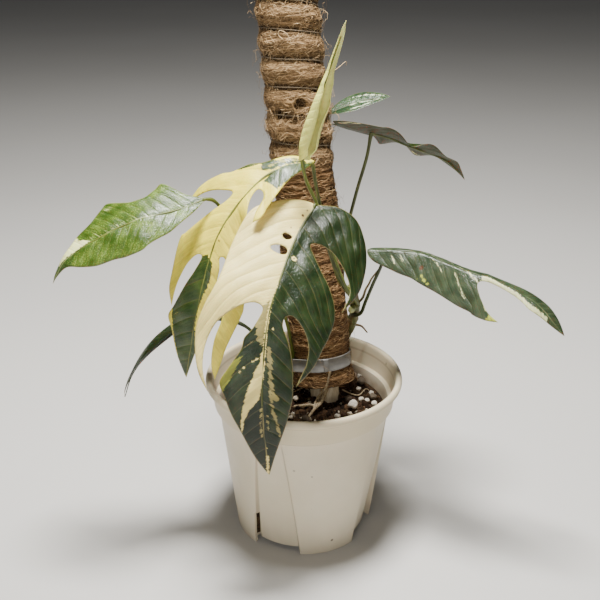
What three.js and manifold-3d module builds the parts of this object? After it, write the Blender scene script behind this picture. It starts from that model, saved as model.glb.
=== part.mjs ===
// A potted variegated epipremnum pinnatum on a coir pole.
// Millimetres. The origin is the centre of the pot's foot, +Z is up and the viewer stands at -Y.
// Azimuths are in degrees from -Y towards +X.

import * as THREE from "three";
import { mergeVertices } from "three/addons/utils/BufferGeometryUtils.js";
import Module from "manifold-3d";

const wasm = await Module();
wasm.setup();

// Pot
const POT_FOOT_RADIUS = 70.6;
const POT_BODY_TOP_RADIUS = 87.4;
const POT_BODY_TOP = 143;
const POT_WALL = 2;
const RECESS_DEPTH = 7;
const RECESS_CENTRE = -23.4;
const RECESS_HALF_FOOT = 20.5;
const RECESS_HALF_TOP = 9;
const RECESS_LIFT = 5;
const RECESS_STEP = 1.2;
const SLOT_WIDTH = 3;
const SLOT_HEIGHT = 41;
const FLOOR_UNDERSIDE = 7.5;
const FLOOR_TOP = 10;
const DRAIN_RADIUS = 6;
const DRAIN_CIRCLE = 42;
const DRAIN_COUNT = 5;

// Outer and inner profile of the rim band, radius and height, from the step up and over.
const RIM_OUTSIDE = [
  [91.6, 143.8], [94.6, 164.6], [98.6, 165.6], [100, 168.4], [98.9, 172.4], [96.6, 173.4],
];
const RIM_INSIDE = [[94.3, 172.6], [93.3, 170], [90.2, 149], [86.1, 147.6]];

// Potting mix
const SOIL_LEVEL = 135;
const SOIL_RELIEF = 2.4;
const SOIL_CLEARANCE = 0.5;
const PERLITE_COUNT = 18;
const BARK_COUNT = 12;

// Coir pole: heights are above the potting mix, along a leaning axis.
const POLE_FOOT = new THREE.Vector3(22.5, 22, SOIL_LEVEL);
const POLE_LEAN = new THREE.Vector3(-0.1, 0.2, 1);
const CORE_RADIUS = 15;
const CORE_BELOW = 75;
const COIR_BOTTOM = 17;
const COIR_TOP = 412;
const CORE_TOP = 416;
const COIR_SIDES = 16;
const COIR_LOW_RADIUS = 31;
const GROOVE_RADIUS = 28.4;
const BULGE_RADIUS = 32.4;
const BULGE_PITCH = 26.4;
const BULGE_START = 238;
const TWINE_RADIUS = 0.8;
const TWINE_SEAT = 0.5;
const FIT_GAP = 0.35;

// Strap round the pole and one petiole
const STRAP_BOTTOM = 33;
const STRAP_TOP = 46.5;
const STRAP_INSIDE = 30;
const STRAP_THICKNESS = 0.9;
const STRAP_BULGE = 6.2;
const STRAP_BULGE_ANGLE = 202;

// Leaves
const BLADE_THICKNESS = 0.9;
const MARGIN_STEP = 12;
const FIELD_STEP = 15;
const STEM_RADIUS = 6;

// General helpers

function makeRandom(seed) {
  let state = seed;
  return () => {
    state = (state + 0x6d2b79f5) | 0;
    let t = Math.imul(state ^ (state >>> 15), 1 | state);
    t = (t + Math.imul(t ^ (t >>> 7), 61 | t)) ^ t;
    return ((t ^ (t >>> 14)) >>> 0) / 4294967296;
  };
}

function geometryFrom(points, faces) {
  const geometry = new THREE.BufferGeometry();
  const flat = points.flatMap((p) => (Array.isArray(p) ? p : [p.x, p.y, p.z]));
  geometry.setAttribute("position", new THREE.Float32BufferAttribute(flat, 3));
  geometry.setIndex(faces.flat());
  return geometry;
}

function solidFrom(source) {
  let geometry = source.clone();
  geometry.deleteAttribute("normal");
  geometry.deleteAttribute("uv");
  geometry = mergeVertices(geometry, 1e-4);
  return new wasm.Manifold(new wasm.Mesh({
    numProp: 3,
    vertProperties: new Float32Array(geometry.attributes.position.array),
    triVerts: new Uint32Array(geometry.index.array),
  }));
}

function geometryOf(solid) {
  const mesh = solid.getMesh();
  const geometry = new THREE.BufferGeometry();
  geometry.setAttribute("position", new THREE.BufferAttribute(new Float32Array(mesh.vertProperties), 3));
  geometry.setIndex(new THREE.BufferAttribute(new Uint32Array(mesh.triVerts), 1));
  geometry.computeVertexNormals();
  return geometry;
}

function joined(solids) {
  return solids.reduce((sum, solid) => sum.add(solid));
}

// The largest shell of a solid, without sealed pockets or loose chips.
function mainShell(solid) {
  return solid.decompose().reduce((best, shell) => (shell.volume() > best.volume() ? shell : best));
}

// Each row is a ring of points with the same count. Rows run so that the skin faces out.
// A closed sheet joins its last row to its first, and an open one is capped at both ends.
function skin(rows, closed = false) {
  const count = rows[0].length;
  const points = rows.flat();
  const faces = [];
  const last = closed ? rows.length : rows.length - 1;
  for (let i = 0; i < last; i += 1) {
    const next = (i + 1) % rows.length;
    for (let j = 0; j < count; j += 1) {
      const k = (j + 1) % count;
      const a = i * count + j;
      const b = i * count + k;
      const c = next * count + k;
      const d = next * count + j;
      faces.push([a, b, c], [a, c, d]);
    }
  }
  if (!closed) {
    for (const [row, flip] of [[0, true], [rows.length - 1, false]]) {
      const centre = new THREE.Vector3();
      rows[row].forEach((p) => centre.add(p));
      points.push(centre.divideScalar(count));
      for (let j = 0; j < count; j += 1) {
        const a = row * count + j;
        const b = row * count + ((j + 1) % count);
        faces.push(flip ? [b, a, points.length - 1] : [a, b, points.length - 1]);
      }
    }
  }
  return geometryFrom(points, faces);
}

// A round rod along a smooth path, with a radius for each share of its length.
function rod(path, radiusAt, sides, steps) {
  const curve = new THREE.CatmullRomCurve3(path, false, "catmullrom", 0.5);
  const frames = curve.computeFrenetFrames(steps, false);
  const rows = [];
  for (let i = 0; i <= steps; i += 1) {
    const share = i / steps;
    const centre = curve.getPointAt(share);
    const radius = radiusAt(share);
    rows.push(Array.from({ length: sides }, (_, j) => {
      const angle = (2 * Math.PI * j) / sides;
      return centre.clone()
        .addScaledVector(frames.normals[i], radius * Math.cos(angle))
        .addScaledVector(frames.binormals[i], radius * Math.sin(angle));
    }));
  }
  return solidFrom(skin(rows));
}

function vectors(list) {
  return list.map(([x, y, z]) => new THREE.Vector3(x, y, z));
}

function tapered(thick, thin) {
  return (share) => thick + (thin - thick) * share;
}

// Pot: a round wall with four tapering recesses. Each quarter has columns on the recess and on the panel.

const RECESS_COLUMNS = [-1, -0.5, 0, 0.5, 1];
const PANEL_COLUMNS = 8;
const POT_COLUMNS = [];
for (let quarter = 0; quarter < 4; quarter += 1) {
  RECESS_COLUMNS.forEach((side) => POT_COLUMNS.push({ quarter, recess: true, side }));
  for (let i = 0; i < PANEL_COLUMNS; i += 1) {
    POT_COLUMNS.push({ quarter, recess: false, side: i / (PANEL_COLUMNS - 1) });
  }
}

function recessHalf(z) {
  const share = Math.min(z / POT_BODY_TOP, 1);
  return RECESS_HALF_FOOT + (RECESS_HALF_TOP - RECESS_HALF_FOOT) * share;
}

// Inside the wall the recess is a little wider, so that its steps keep the wall's thickness.
function potAzimuth(column, z, inset) {
  const centre = RECESS_CENTRE + 90 * column.quarter;
  const half = recessHalf(z) + 0.75 * inset;
  if (column.recess) {
    return centre + column.side * (half - RECESS_STEP);
  }
  return centre + half + column.side * (90 - 2 * half);
}

function potBodyRadius(column, z) {
  const share = z / POT_BODY_TOP;
  const radius = POT_FOOT_RADIUS + (POT_BODY_TOP_RADIUS - POT_FOOT_RADIUS) * share;
  return column.recess ? radius - RECESS_DEPTH * (1 - share) : radius;
}

function around(azimuth, radius, z) {
  const angle = THREE.MathUtils.degToRad(azimuth);
  return new THREE.Vector3(radius * Math.sin(angle), -radius * Math.cos(angle), z);
}

function potRow(height, inset) {
  return POT_COLUMNS.map((column) => {
    const z = height === 0 && column.recess ? RECESS_LIFT : height;
    return around(potAzimuth(column, z, inset), potBodyRadius(column, z) - inset, z);
  });
}

function potRimRow([radius, z]) {
  return POT_COLUMNS.map((column) => around(potAzimuth(column, z, 0), radius, z));
}

function buildPot() {
  const heights = [0, 35, 90, POT_BODY_TOP];
  const wall = solidFrom(skin([
    ...heights.map((z) => potRow(z, 0)),
    ...RIM_OUTSIDE.map(potRimRow),
    ...RIM_INSIDE.map(potRimRow),
    ...heights.slice(0, -1).reverse().map((z) => potRow(z, POT_WALL)),
  ], true));
  const floor = solidFrom(skin([potRow(FLOOR_UNDERSIDE, 1), potRow(FLOOR_TOP, 1)]));
  let pot = wall.add(floor);
  const drain = new THREE.CylinderGeometry(DRAIN_RADIUS, DRAIN_RADIUS, 10, 8).rotateX(Math.PI / 2);
  for (let i = 0; i < DRAIN_COUNT; i += 1) {
    const spot = around(20 + (360 * i) / DRAIN_COUNT, DRAIN_CIRCLE, FLOOR_TOP - 1);
    pot = pot.subtract(solidFrom(drain.clone().translate(spot.x, spot.y, spot.z)));
  }
  pot = pot.subtract(solidFrom(drain.clone().translate(0, 0, FLOOR_TOP - 1)));
  // An open slot follows the left step of each recess.
  for (let quarter = 0; quarter < 4; quarter += 1) {
    const centre = RECESS_CENTRE + 90 * quarter;
    const low = centre - recessHalf(0) - 0.15;
    const high = centre - recessHalf(SLOT_HEIGHT) - 0.15;
    const shift = THREE.MathUtils.degToRad(high - low) * POT_FOOT_RADIUS;
    const slot = new THREE.BoxGeometry(SLOT_WIDTH, 12, SLOT_HEIGHT + 4)
      .rotateY(Math.atan2(shift, SLOT_HEIGHT))
      .translate(0, -(POT_FOOT_RADIUS - 2), SLOT_HEIGHT / 2 - 2)
      .rotateZ(THREE.MathUtils.degToRad((low + high) / 2));
    pot = pot.subtract(solidFrom(slot));
  }
  return pot;
}

// Pole

const POLE_UP = POLE_LEAN.clone().normalize();
const POLE_SIDE = new THREE.Vector3(1, 0, 0).addScaledVector(POLE_UP, -POLE_UP.x).normalize();
const POLE_BACK = new THREE.Vector3().crossVectors(POLE_UP, POLE_SIDE);

// Angles run from the pole's +X side towards its back.
function polePoint(height, angle, radius) {
  return POLE_FOOT.clone()
    .addScaledVector(POLE_LEAN, height)
    .addScaledVector(POLE_SIDE, radius * Math.cos(angle))
    .addScaledVector(POLE_BACK, radius * Math.sin(angle));
}

function poleRing(height, radius, sides) {
  return Array.from({ length: sides }, (_, j) => polePoint(height, (2 * Math.PI * j) / sides, radius));
}

function poleDisc(bottom, top, radius, sides) {
  return solidFrom(skin([poleRing(bottom, radius, sides), poleRing(top, radius, sides)]));
}

// The coir is bound into a helix of bulges above, and is smoother and a little lumpy below.
function coirRadius(height, angle) {
  const turn = (height - BULGE_START) / BULGE_PITCH + angle / (2 * Math.PI) - 0.5;
  const across = turn - Math.floor(turn);
  const away = Math.min(across, 1 - across) * BULGE_PITCH;
  const rise = Math.sqrt(THREE.MathUtils.clamp((away - 1.8) / (BULGE_PITCH / 2 - 1.8), 0, 1));
  const bulge = GROOVE_RADIUS + (BULGE_RADIUS - GROOVE_RADIUS) * rise;
  const lumps = 1.1 * Math.sin(3 * angle + height / 23) + 0.9 * Math.sin(2 * angle - height / 31);
  const cinch = 1.9 * Math.exp(-(((height - (STRAP_BOTTOM + STRAP_TOP) / 2) / 13) ** 2));
  const flare = 3.4 * THREE.MathUtils.clamp((30 - height) / 14, 0, 1);
  const low = COIR_LOW_RADIUS + lumps * THREE.MathUtils.smoothstep(height, 60, 90) - cinch + flare;
  return THREE.MathUtils.lerp(low, bulge, THREE.MathUtils.smoothstep(height, BULGE_START - 6, BULGE_START + 6));
}

// The rows of the coir's skin climb with the binding, so that the groove lies along them.
function buildCoir() {
  const offsets = [-2, 2, 9, 17.4];
  const perTurn = offsets.length;
  const firstTurn = Math.floor((COIR_BOTTOM - BULGE_START) / BULGE_PITCH) - 1;
  const lastTurn = Math.ceil((COIR_TOP - BULGE_START) / BULGE_PITCH) + 1;
  const last = (lastTurn - firstTurn) * perTurn - 1;
  const rowHeight = (i) => BULGE_START + BULGE_PITCH * (firstTurn + Math.floor(i / perTurn)) + offsets[i % perTurn];
  const points = [];
  for (let i = 0; i <= last; i += 1) {
    for (let j = 0; j < COIR_SIDES; j += 1) {
      const angle = Math.PI - (2 * Math.PI * j) / COIR_SIDES;
      const height = rowHeight(i) + (BULGE_PITCH * j) / COIR_SIDES;
      points.push(polePoint(height, angle, coirRadius(height, angle)));
    }
  }
  const at = (i, j) => (j < COIR_SIDES ? i * COIR_SIDES + j : (i + perTurn) * COIR_SIDES);
  const faces = [];
  for (let i = 0; i < last; i += 1) {
    for (let j = 0; j < COIR_SIDES; j += 1) {
      if (j < COIR_SIDES - 1 || i + 1 + perTurn <= last) {
        faces.push([at(i, j), at(i + 1, j + 1), at(i, j + 1)]);
        faces.push([at(i, j), at(i + 1, j), at(i + 1, j + 1)]);
      }
    }
  }
  // Each stepped end runs once round, back along the seam, and closes on the axis.
  const lower = Array.from({ length: COIR_SIDES }, (_, j) => at(0, j));
  const upper = Array.from({ length: COIR_SIDES }, (_, j) => at(last, j));
  for (let i = 0; i < perTurn; i += 1) {
    lower.push(at(perTurn - i, 0));
    upper.push(at(last - 1 - i, COIR_SIDES - 1));
  }
  for (const [loop, height, flip] of [
    [lower, rowHeight(0) + BULGE_PITCH / 2, false],
    [upper, rowHeight(last) + BULGE_PITCH / 2, true],
  ]) {
    points.push(polePoint(height, 0, 0));
    loop.forEach((a, i) => {
      const b = loop[(i + 1) % loop.length];
      faces.push(flip ? [b, a, points.length - 1] : [a, b, points.length - 1]);
    });
  }
  return solidFrom(geometryFrom(points, faces))
    .intersect(poleDisc(COIR_BOTTOM, COIR_TOP, 70, 8))
    .subtract(poleDisc(COIR_BOTTOM - 5, COIR_TOP + 5, CORE_RADIUS + FIT_GAP, 20));
}

function buildTwine() {
  const seat = GROOVE_RADIUS + TWINE_SEAT + FIT_GAP + TWINE_RADIUS;
  const turns = Math.floor((COIR_TOP - 10 - BULGE_START) / BULGE_PITCH);
  const rows = [];
  for (let i = COIR_SIDES / 2; i <= turns * COIR_SIDES; i += 1) {
    const angle = Math.PI - (2 * Math.PI * i) / COIR_SIDES;
    const height = BULGE_START + (BULGE_PITCH * i) / COIR_SIDES;
    rows.push(Array.from({ length: 4 }, (_, k) => {
      const turn = -(2 * Math.PI * k) / 4;
      const rise = TWINE_RADIUS * Math.cos(turn);
      return polePoint(height + rise, angle, seat + TWINE_RADIUS * Math.sin(turn));
    }));
  }
  return solidFrom(skin(rows));
}

function buildCore() {
  return poleDisc(-CORE_BELOW, CORE_TOP, CORE_RADIUS, 24);
}

// A flat plastic strap with a small lock at the front. It bulges where a petiole runs under it.
function buildStrap() {
  const sides = 36;
  const inside = (angle) => {
    const away = Math.abs(((angle - STRAP_BULGE_ANGLE + 540) % 360) - 180);
    return STRAP_INSIDE + STRAP_BULGE * Math.exp(-((away / 20) ** 2));
  };
  const ring = (height, extra) => Array.from({ length: sides }, (_, j) => {
    const degrees = (360 * j) / sides;
    return polePoint(height, THREE.MathUtils.degToRad(degrees), inside(degrees) + extra);
  });
  const band = solidFrom(skin([
    ring(STRAP_BOTTOM, 0),
    ring(STRAP_BOTTOM, STRAP_THICKNESS),
    ring(STRAP_TOP, STRAP_THICKNESS),
    ring(STRAP_TOP, 0),
  ], true));
  const height = STRAP_TOP - STRAP_BOTTOM;
  const centre = polePoint((STRAP_BOTTOM + STRAP_TOP) / 2, THREE.MathUtils.degToRad(278), STRAP_INSIDE + 1.2);
  const lock = new THREE.BoxGeometry(5, 2, height - 0.6)
    .rotateX(-Math.atan(POLE_LEAN.y))
    .translate(centre.x, centre.y, centre.z);
  return band.add(solidFrom(lock));
}

// Leaves. A leaf is drawn flat, with x along its midrib and y across it, then laid over a curved spine.
// face gives the upper side's direction and plus and minus give each half's fold and curl, in degrees
// and degrees per 100 mm, at shares of the spine. The outline's runs meet at the lobe tips.

const LEAVES = {
  leaf_front_half_moon: {
    color: 0x54714f,
    spine: [
      [11, -12, 357], [-1, -46, 335], [-13, -82, 306], [-25, -108, 274],
      [-33, -124, 228], [-34, -130, 185], [-32, -128, 135],
    ],
    face: [[0, 0.1, -0.7, 0.7], [0.5, 0.05, -0.9, 0.4], [1, 0.05, -1, 0.1]],
    sweep: 0.45,
    plus: [[0, 16, 30], [0.12, 10, 38], [0.3, 10, 40], [0.6, 5, 30], [1, 0, 20]],
    minus: [[0, 0, 55], [0.4, 0, 55], [1, -5, 30]],
    ripple: [1.5, 4, 0],
    outline: [
      [
        [0, 0], [-3, -9], [-7, -22], [-4, -41], [11, -57], [26, -65], [43, -69], [62, -69],
        [79, -64], [96, -55],
      ],
      [
        [96, -55], [77, -58], [66, -55], [55, -46], [44, -31], [41, -17], [45, -8], [56, -15],
        [68, -25], [81, -37], [102, -50], [127, -50], [144, -46], [159, -42], [172, -35], [184, -26],
      ],
      [
        [184, -26], [168, -31], [159, -33], [143, -32], [128, -25], [118, -14], [119, -6], [128, -5],
        [144, -14], [165, -21], [193, -24], [211, -21], [226, -17], [257, -6], [276, 0],
      ],
      [
        [276, 0], [256, 11], [229, 22], [210, 31], [195, 37], [184, 42], [172, 36], [155, 27],
        [145, 26], [135, 20], [120, 16], [116, 22], [119, 32], [129, 45], [140, 54], [158, 59],
        [176, 58], [192, 52],
      ],
      [
        [192, 52], [178, 62], [160, 68], [142, 70], [127, 67], [116, 64], [101, 62], [68, 61],
        [43, 57], [31, 52], [21, 42], [10, 28], [2, 12], [0, 0],
      ],
    ],
    holes: [[60, 18, 4.5, 8], [45, 15, 3, 4.5]],
    petiole: [[17, -9, 338], [28, -7, 297], [40, -3, 268], [51, 8, 250], [55, 20, 239], [52, 36, 236]],
  },
  leaf_yellow_cut: {
    color: 0xe8dc8c,
    spine: [
      [8, 0, 393], [-13, -8, 395], [-37, -16, 385], [-58, -26, 366], [-75, -34, 344],
      [-86, -42, 319], [-94, -48, 291], [-104, -53, 247], [-113, -52, 198],
    ],
    face: [[0, -0.1, -0.6, 0.8], [0.5, -0.4, -0.8, 0.5], [1, -0.4, -0.9, 0.1]],
    sweep: 0.5,
    plus: [[0, 0, 30], [0.5, -5, 45], [1, -10, 20]],
    minus: [[0, 0, 30], [0.2, 10, 20], [0.28, 16, 15], [0.37, -18, 30], [0.6, -14, 40], [1, -10, 20]],
    ripple: [1.5, 5, 1],
    outline: [
      [
        [0, 0], [-2, 4], [11, 8], [22, 10], [42, 14], [52, 22], [65, 29], [73, 38],
        [92, 50], [103, 54], [119, 60],
      ],
      [
        [119, 60], [109, 52], [100, 46], [91, 36], [84, 25], [79, 13], [90, 13], [110, 24],
        [128, 39], [135, 45], [156, 46], [171, 44], [187, 41], [201, 33],
      ],
      [
        [201, 33], [190, 33], [174, 31], [155, 25], [143, 16], [143, 9], [157, 13], [175, 21],
        [199, 30], [212, 35], [223, 27], [237, 20], [248, 14], [265, 0],
      ],
      [
        [265, 0], [242, -4], [221, -8], [201, -11], [183, -12], [151, -12], [138, -9], [137, -14],
        [148, -21], [164, -24], [183, -25], [198, -24], [219, -21], [243, -22], [259, -28],
      ],
      [
        [259, -28], [240, -31], [226, -33], [208, -37], [189, -41], [178, -42], [144, -38], [112, -30],
        [90, -18], [74, -8], [63, -6], [61, -12], [66, -18], [78, -22], [89, -28],
      ],
      [[89, -28], [81, -31], [71, -28], [59, -26], [47, -23], [30, -16], [13, -9], [0, 0]],
    ],
    holes: [],
    petiole: [[11, 6, 371], [16, 11, 345], [23, 12, 308], [34, 15, 272], [41, 22, 259], [47, 26, 254]],
  },
  leaf_left_speckled: {
    color: 0x5f8f3c,
    spine: [
      [-90, -20, 366], [-110, -29, 360], [-136, -36, 355], [-153, -39, 352], [-173, -41, 343],
      [-189, -42, 335], [-205, -42, 325], [-220, -42, 314], [-230, -40, 299], [-238, -37, 284],
    ],
    face: [[0, -0.1, -0.6, 0.8], [0.5, -0.3, -0.55, 0.8], [1, -0.6, -0.4, 0.6]],
    sweep: 0.35,
    plus: [[0, 10, 40], [0.5, 5, 50], [1, 0, 20]],
    minus: [[0, 0, 40], [0.5, -5, 50], [1, 0, 20]],
    ripple: [2.5, 3, 0],
    outline: [
      [
        [0, 0], [15, 12], [25, 23], [36, 33], [44, 29], [57, 23], [68, 22], [76, 26],
        [91, 35], [99, 31], [112, 22], [128, 16], [138, 10], [151, 6], [166, 4], [176, 0],
      ],
      [
        [176, 0], [161, -4], [147, -9], [132, -19], [117, -26], [99, -28], [86, -31], [69, -32],
        [53, -25], [41, -21], [29, -14], [12, -6], [0, 0],
      ],
    ],
    holes: [],
    petiole: [
      [-80, -14, 358], [-56, -7, 320], [-32, -2, 274], [-20, 5, 238], [-13.5, 13, 205],
      [-11.1, 18.2, 177], [-12.8, 14, 160], [-14.6, 11, 146], [-15.5, 9, 116],
    ],
  },
  leaf_right_cleft: {
    color: 0x4d6b58,
    spine: [
      [76, 0, 307], [92, -5, 308], [111, -12, 308], [128, -20, 304], [154, -32, 297],
      [172, -41, 295], [201, -53, 284], [217, -60, 274], [233, -65, 257],
    ],
    face: [[0, 0.1, -0.5, 0.85], [0.5, 0.2, -0.5, 0.85], [1, 0.4, -0.5, 0.7]],
    sweep: 0.45,
    plus: [[0, -25, 50], [0.5, -25, 50], [1, -10, 20]],
    minus: [[0, -40, 30], [0.5, -35, 30], [1, -10, 20]],
    ripple: [1.5, 4, 0],
    outline: [
      [
        [-15, -3], [-12, -14], [0, -24], [20, -30], [50, -30], [80, -26], [105, -21], [130, -17],
        [155, -15], [171, -15], [184, -10], [196, 0],
      ],
      [
        [196, 0], [186, 3], [172, 6], [154, 9], [144, 7], [133, 5], [120, 4], [106, 4],
        [98, 7], [100, 14], [112, 25], [121, 31], [133, 34],
      ],
      [
        [133, 34], [121, 38], [107, 38], [85, 33], [68, 30], [53, 28], [32, 25], [18, 22],
        [2, 16], [-9, 11], [-15, 4], [-15, -3],
      ],
    ],
    holes: [],
    petiole: [[75, 2, 290], [68, 6, 269], [62, 14, 247], [58, 26, 228], [51, 44, 217]],
  },
  leaf_back_wavy: {
    color: 0x5d7a4c,
    spine: [
      [66, 62, 406], [82, 62, 402], [100, 64, 394], [120, 66, 386], [138, 70, 378],
      [152, 74, 367], [164, 78, 353],
    ],
    face: [[0, 0.15, 0.3, 0.93], [0.6, 0.3, 0.3, 0.9], [1, 0.5, 0.25, 0.8]],
    sweep: 0.2,
    plus: [[0, 5, 20], [1, 10, 20]],
    minus: [[0, 0, 20], [1, 0, 20]],
    ripple: [17, 2.6, 1],
    outline: [
      [
        [-37, 2], [-40, 13], [-26, 25], [0, 31], [25, 33], [48, 30], [68, 24], [84, 17],
        [98, 8], [115, 0],
      ],
      [
        [115, 0], [98, -8], [84, -16], [66, -24], [45, -29], [22, -31], [0, -28], [-24, -22],
        [-39, -10], [-37, 2],
      ],
    ],
    holes: [],
    petiole: [[62, 63, 380], [52, 65, 340], [43, 73, 290], [41, 71, 242], [46, 61, 204], [50, 57, 196]],
  },
  leaf_back_small: {
    color: 0x7f9476,
    spine: [[24, 108, 414], [42, 110, 421], [63, 113, 427], [88, 115, 430]],
    face: [[0, -0.1, -0.25, 0.95], [1, 0.1, -0.25, 0.95]],
    sweep: 0.2,
    plus: [[0, 5, 40], [1, 5, 20]],
    minus: [[0, 5, 40], [1, 5, 20]],
    ripple: [1.5, 2, 0],
    outline: [
      [[0, 0], [8, 9], [22, 15], [40, 14], [56, 8], [67, 0]],
      [[67, 0], [56, -9], [40, -15], [22, -14], [8, -7], [0, 0]],
    ],
    holes: [],
    petiole: [[25, 109, 395], [28, 108, 350], [32, 99, 300], [37, 84, 240], [37, 68, 190], [38, 65, 176]],
  },
  leaf_new_rolled: {
    color: 0xcfd873,
    spine: [
      [-2, -18, 401], [0, -20, 416], [5, -23, 438], [13, -26, 460], [21, -29, 485],
      [29, -31, 509], [35, -32, 527],
    ],
    face: [[0, -0.3, 0.9, 0.2], [1, -0.3, 0.9, 0.2]],
    sweep: 0,
    plus: [[0, 0, 1300], [0.15, 0, 760], [0.45, 0, 860], [0.58, 0, 1150], [0.7, 0, 2000], [1, 0, 2900]],
    minus: [[0, 0, 1200], [0.15, 0, 680], [0.45, 0, 760], [0.58, 0, 1050], [0.7, 0, 1800], [1, 0, 2600]],
    ripple: [0, 1, 0],
    step: 8,
    outline: [
      [[0, 0], [4, 10], [14, 20], [30, 22], [48, 20], [64, 16], [78, 11], [92, 6.5], [108, 4.5], [122, 2.6], [133, 0]],
      [
        [133, 0], [122, -2.6], [108, -4.5], [92, -6.5], [78, -11], [64, -16], [48, -20], [30, -22],
        [14, -20], [4, -10], [0, 0],
      ],
    ],
    holes: [],
    petiole: [[2, -11, 380], [11, -2, 357], [17, 0, 338], [27, 2, 305], [39, 8, 270], [46, 17, 254], [50, 29, 246]],
  },
  leaf_low_narrow: {
    color: 0x3f5638,
    spine: [
      [-68, 4, 230], [-89, -4, 236], [-111, -12, 237], [-127, -18, 230], [-149, -26, 214],
      [-166, -32, 194], [-177, -35, 172], [-178, -34, 148],
    ],
    face: [[0, -0.2, 0.12, 0.95], [0.5, -0.5, 0, 0.8], [1, -0.97, -0.05, 0.2]],
    sweep: 0.2,
    plus: [[0, 10, 30], [1, 5, 20]],
    minus: [[0, 10, 30], [1, 5, 20]],
    ripple: [1, 3, 0],
    outline: [
      [[0, 0], [15, 8], [40, 15], [75, 17], [105, 13], [130, 6], [152, 0]],
      [[152, 0], [130, -6], [105, -12], [75, -16], [40, -14], [15, -8], [0, 0]],
    ],
    holes: [],
    petiole: [[-53, 3, 219], [-38, 7, 190], [-29, 8, 155], [-27, 8, 116]],
  },
};

function blend(rows, share) {
  const s = THREE.MathUtils.clamp(share, rows[0][0], rows[rows.length - 1][0]);
  const next = Math.max(1, rows.findIndex((row) => row[0] >= s));
  const [low, high] = [rows[next - 1], rows[next]];
  const t = THREE.MathUtils.smoothstep(s, low[0], high[0]);
  return low.slice(1).map((value, i) => THREE.MathUtils.lerp(value, high[i + 1], t));
}

// Returns the function that lays a flat point of the leaf in space.
function laidOver(leaf) {
  const curve = new THREE.CatmullRomCurve3(vectors(leaf.spine), false, "catmullrom", 0.5);
  const length = curve.getLength();
  const [height, waves, phase] = leaf.ripple;
  return (x, y) => {
    const along = THREE.MathUtils.clamp(x / length, 0, 1);
    const point = curve.getPointAt(along);
    const tangent = curve.getTangentAt(along);
    point.addScaledVector(tangent, x - along * length);
    const facing = new THREE.Vector3(...blend(leaf.face, along));
    const across = new THREE.Vector3().crossVectors(tangent, facing).normalize();
    facing.crossVectors(across, tangent);
    const away = Math.abs(y);
    const station = THREE.MathUtils.clamp((x - away * leaf.sweep) / length, 0, 1);
    const [foldDegrees, curlDegrees] = blend(y >= 0 ? leaf.plus : leaf.minus, station);
    const fold = THREE.MathUtils.degToRad(foldDegrees);
    const curl = THREE.MathUtils.degToRad(curlDegrees) / 100;
    const side = (Math.sin(fold) - Math.sin(fold - curl * away)) / curl;
    const swell = Math.min(away / 60, 1.5) ** 2;
    const wave = height * swell * Math.sin(2 * Math.PI * waves * station + phase + (y >= 0 ? 0 : 2));
    const lift = (Math.cos(fold - curl * away) - Math.cos(fold)) / curl + wave;
    return point.addScaledVector(across, Math.sign(y) * side).addScaledVector(facing, lift);
  };
}

function sampledRun(run, step) {
  const curve = new THREE.CatmullRomCurve3(run.map(([x, y]) => new THREE.Vector3(x, y, 0)), false, "catmullrom", 0.5);
  const count = Math.max(2, Math.round(curve.getLength() / step));
  return Array.from({ length: count }, (_, i) => curve.getPointAt(i / count)).map((p) => new THREE.Vector2(p.x, p.y));
}

function ellipse([x, y, rx, ry]) {
  return Array.from({ length: 8 }, (_, i) => {
    const angle = (-2 * Math.PI * i) / 8;
    return new THREE.Vector2(x + rx * Math.cos(angle), y + ry * Math.sin(angle));
  });
}

function isInside(point, loop) {
  let inside = false;
  loop.forEach((a, i) => {
    const b = loop[(i + 1) % loop.length];
    if ((a.y > point.y) !== (b.y > point.y)
      && point.x < ((b.x - a.x) * (point.y - a.y)) / (b.y - a.y) + a.x) {
      inside = !inside;
    }
  });
  return inside;
}

function distanceToLoop(point, loop) {
  let nearest = Infinity;
  loop.forEach((a, i) => {
    const b = loop[(i + 1) % loop.length];
    const edge = b.clone().sub(a);
    const t = THREE.MathUtils.clamp(point.clone().sub(a).dot(edge) / edge.lengthSq(), 0, 1);
    nearest = Math.min(nearest, a.clone().addScaledVector(edge, t).distanceTo(point));
  });
  return nearest;
}

function twiceArea(a, b, c) {
  return (b.x - a.x) * (c.y - a.y) - (b.y - a.y) * (c.x - a.x);
}

// True where the fourth point lies in the circle through the first three, which run anticlockwise.
function isEncircled(a, b, c, d) {
  const [ax, ay, bx, by, cx, cy] = [a.x - d.x, a.y - d.y, b.x - d.x, b.y - d.y, c.x - d.x, c.y - d.y];
  const determinant = (ax * ax + ay * ay) * (bx * cy - cx * by)
    - (bx * bx + by * by) * (ax * cy - cx * ay)
    + (cx * cx + cy * cy) * (ax * by - bx * ay);
  return determinant > 1e-6;
}

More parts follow.
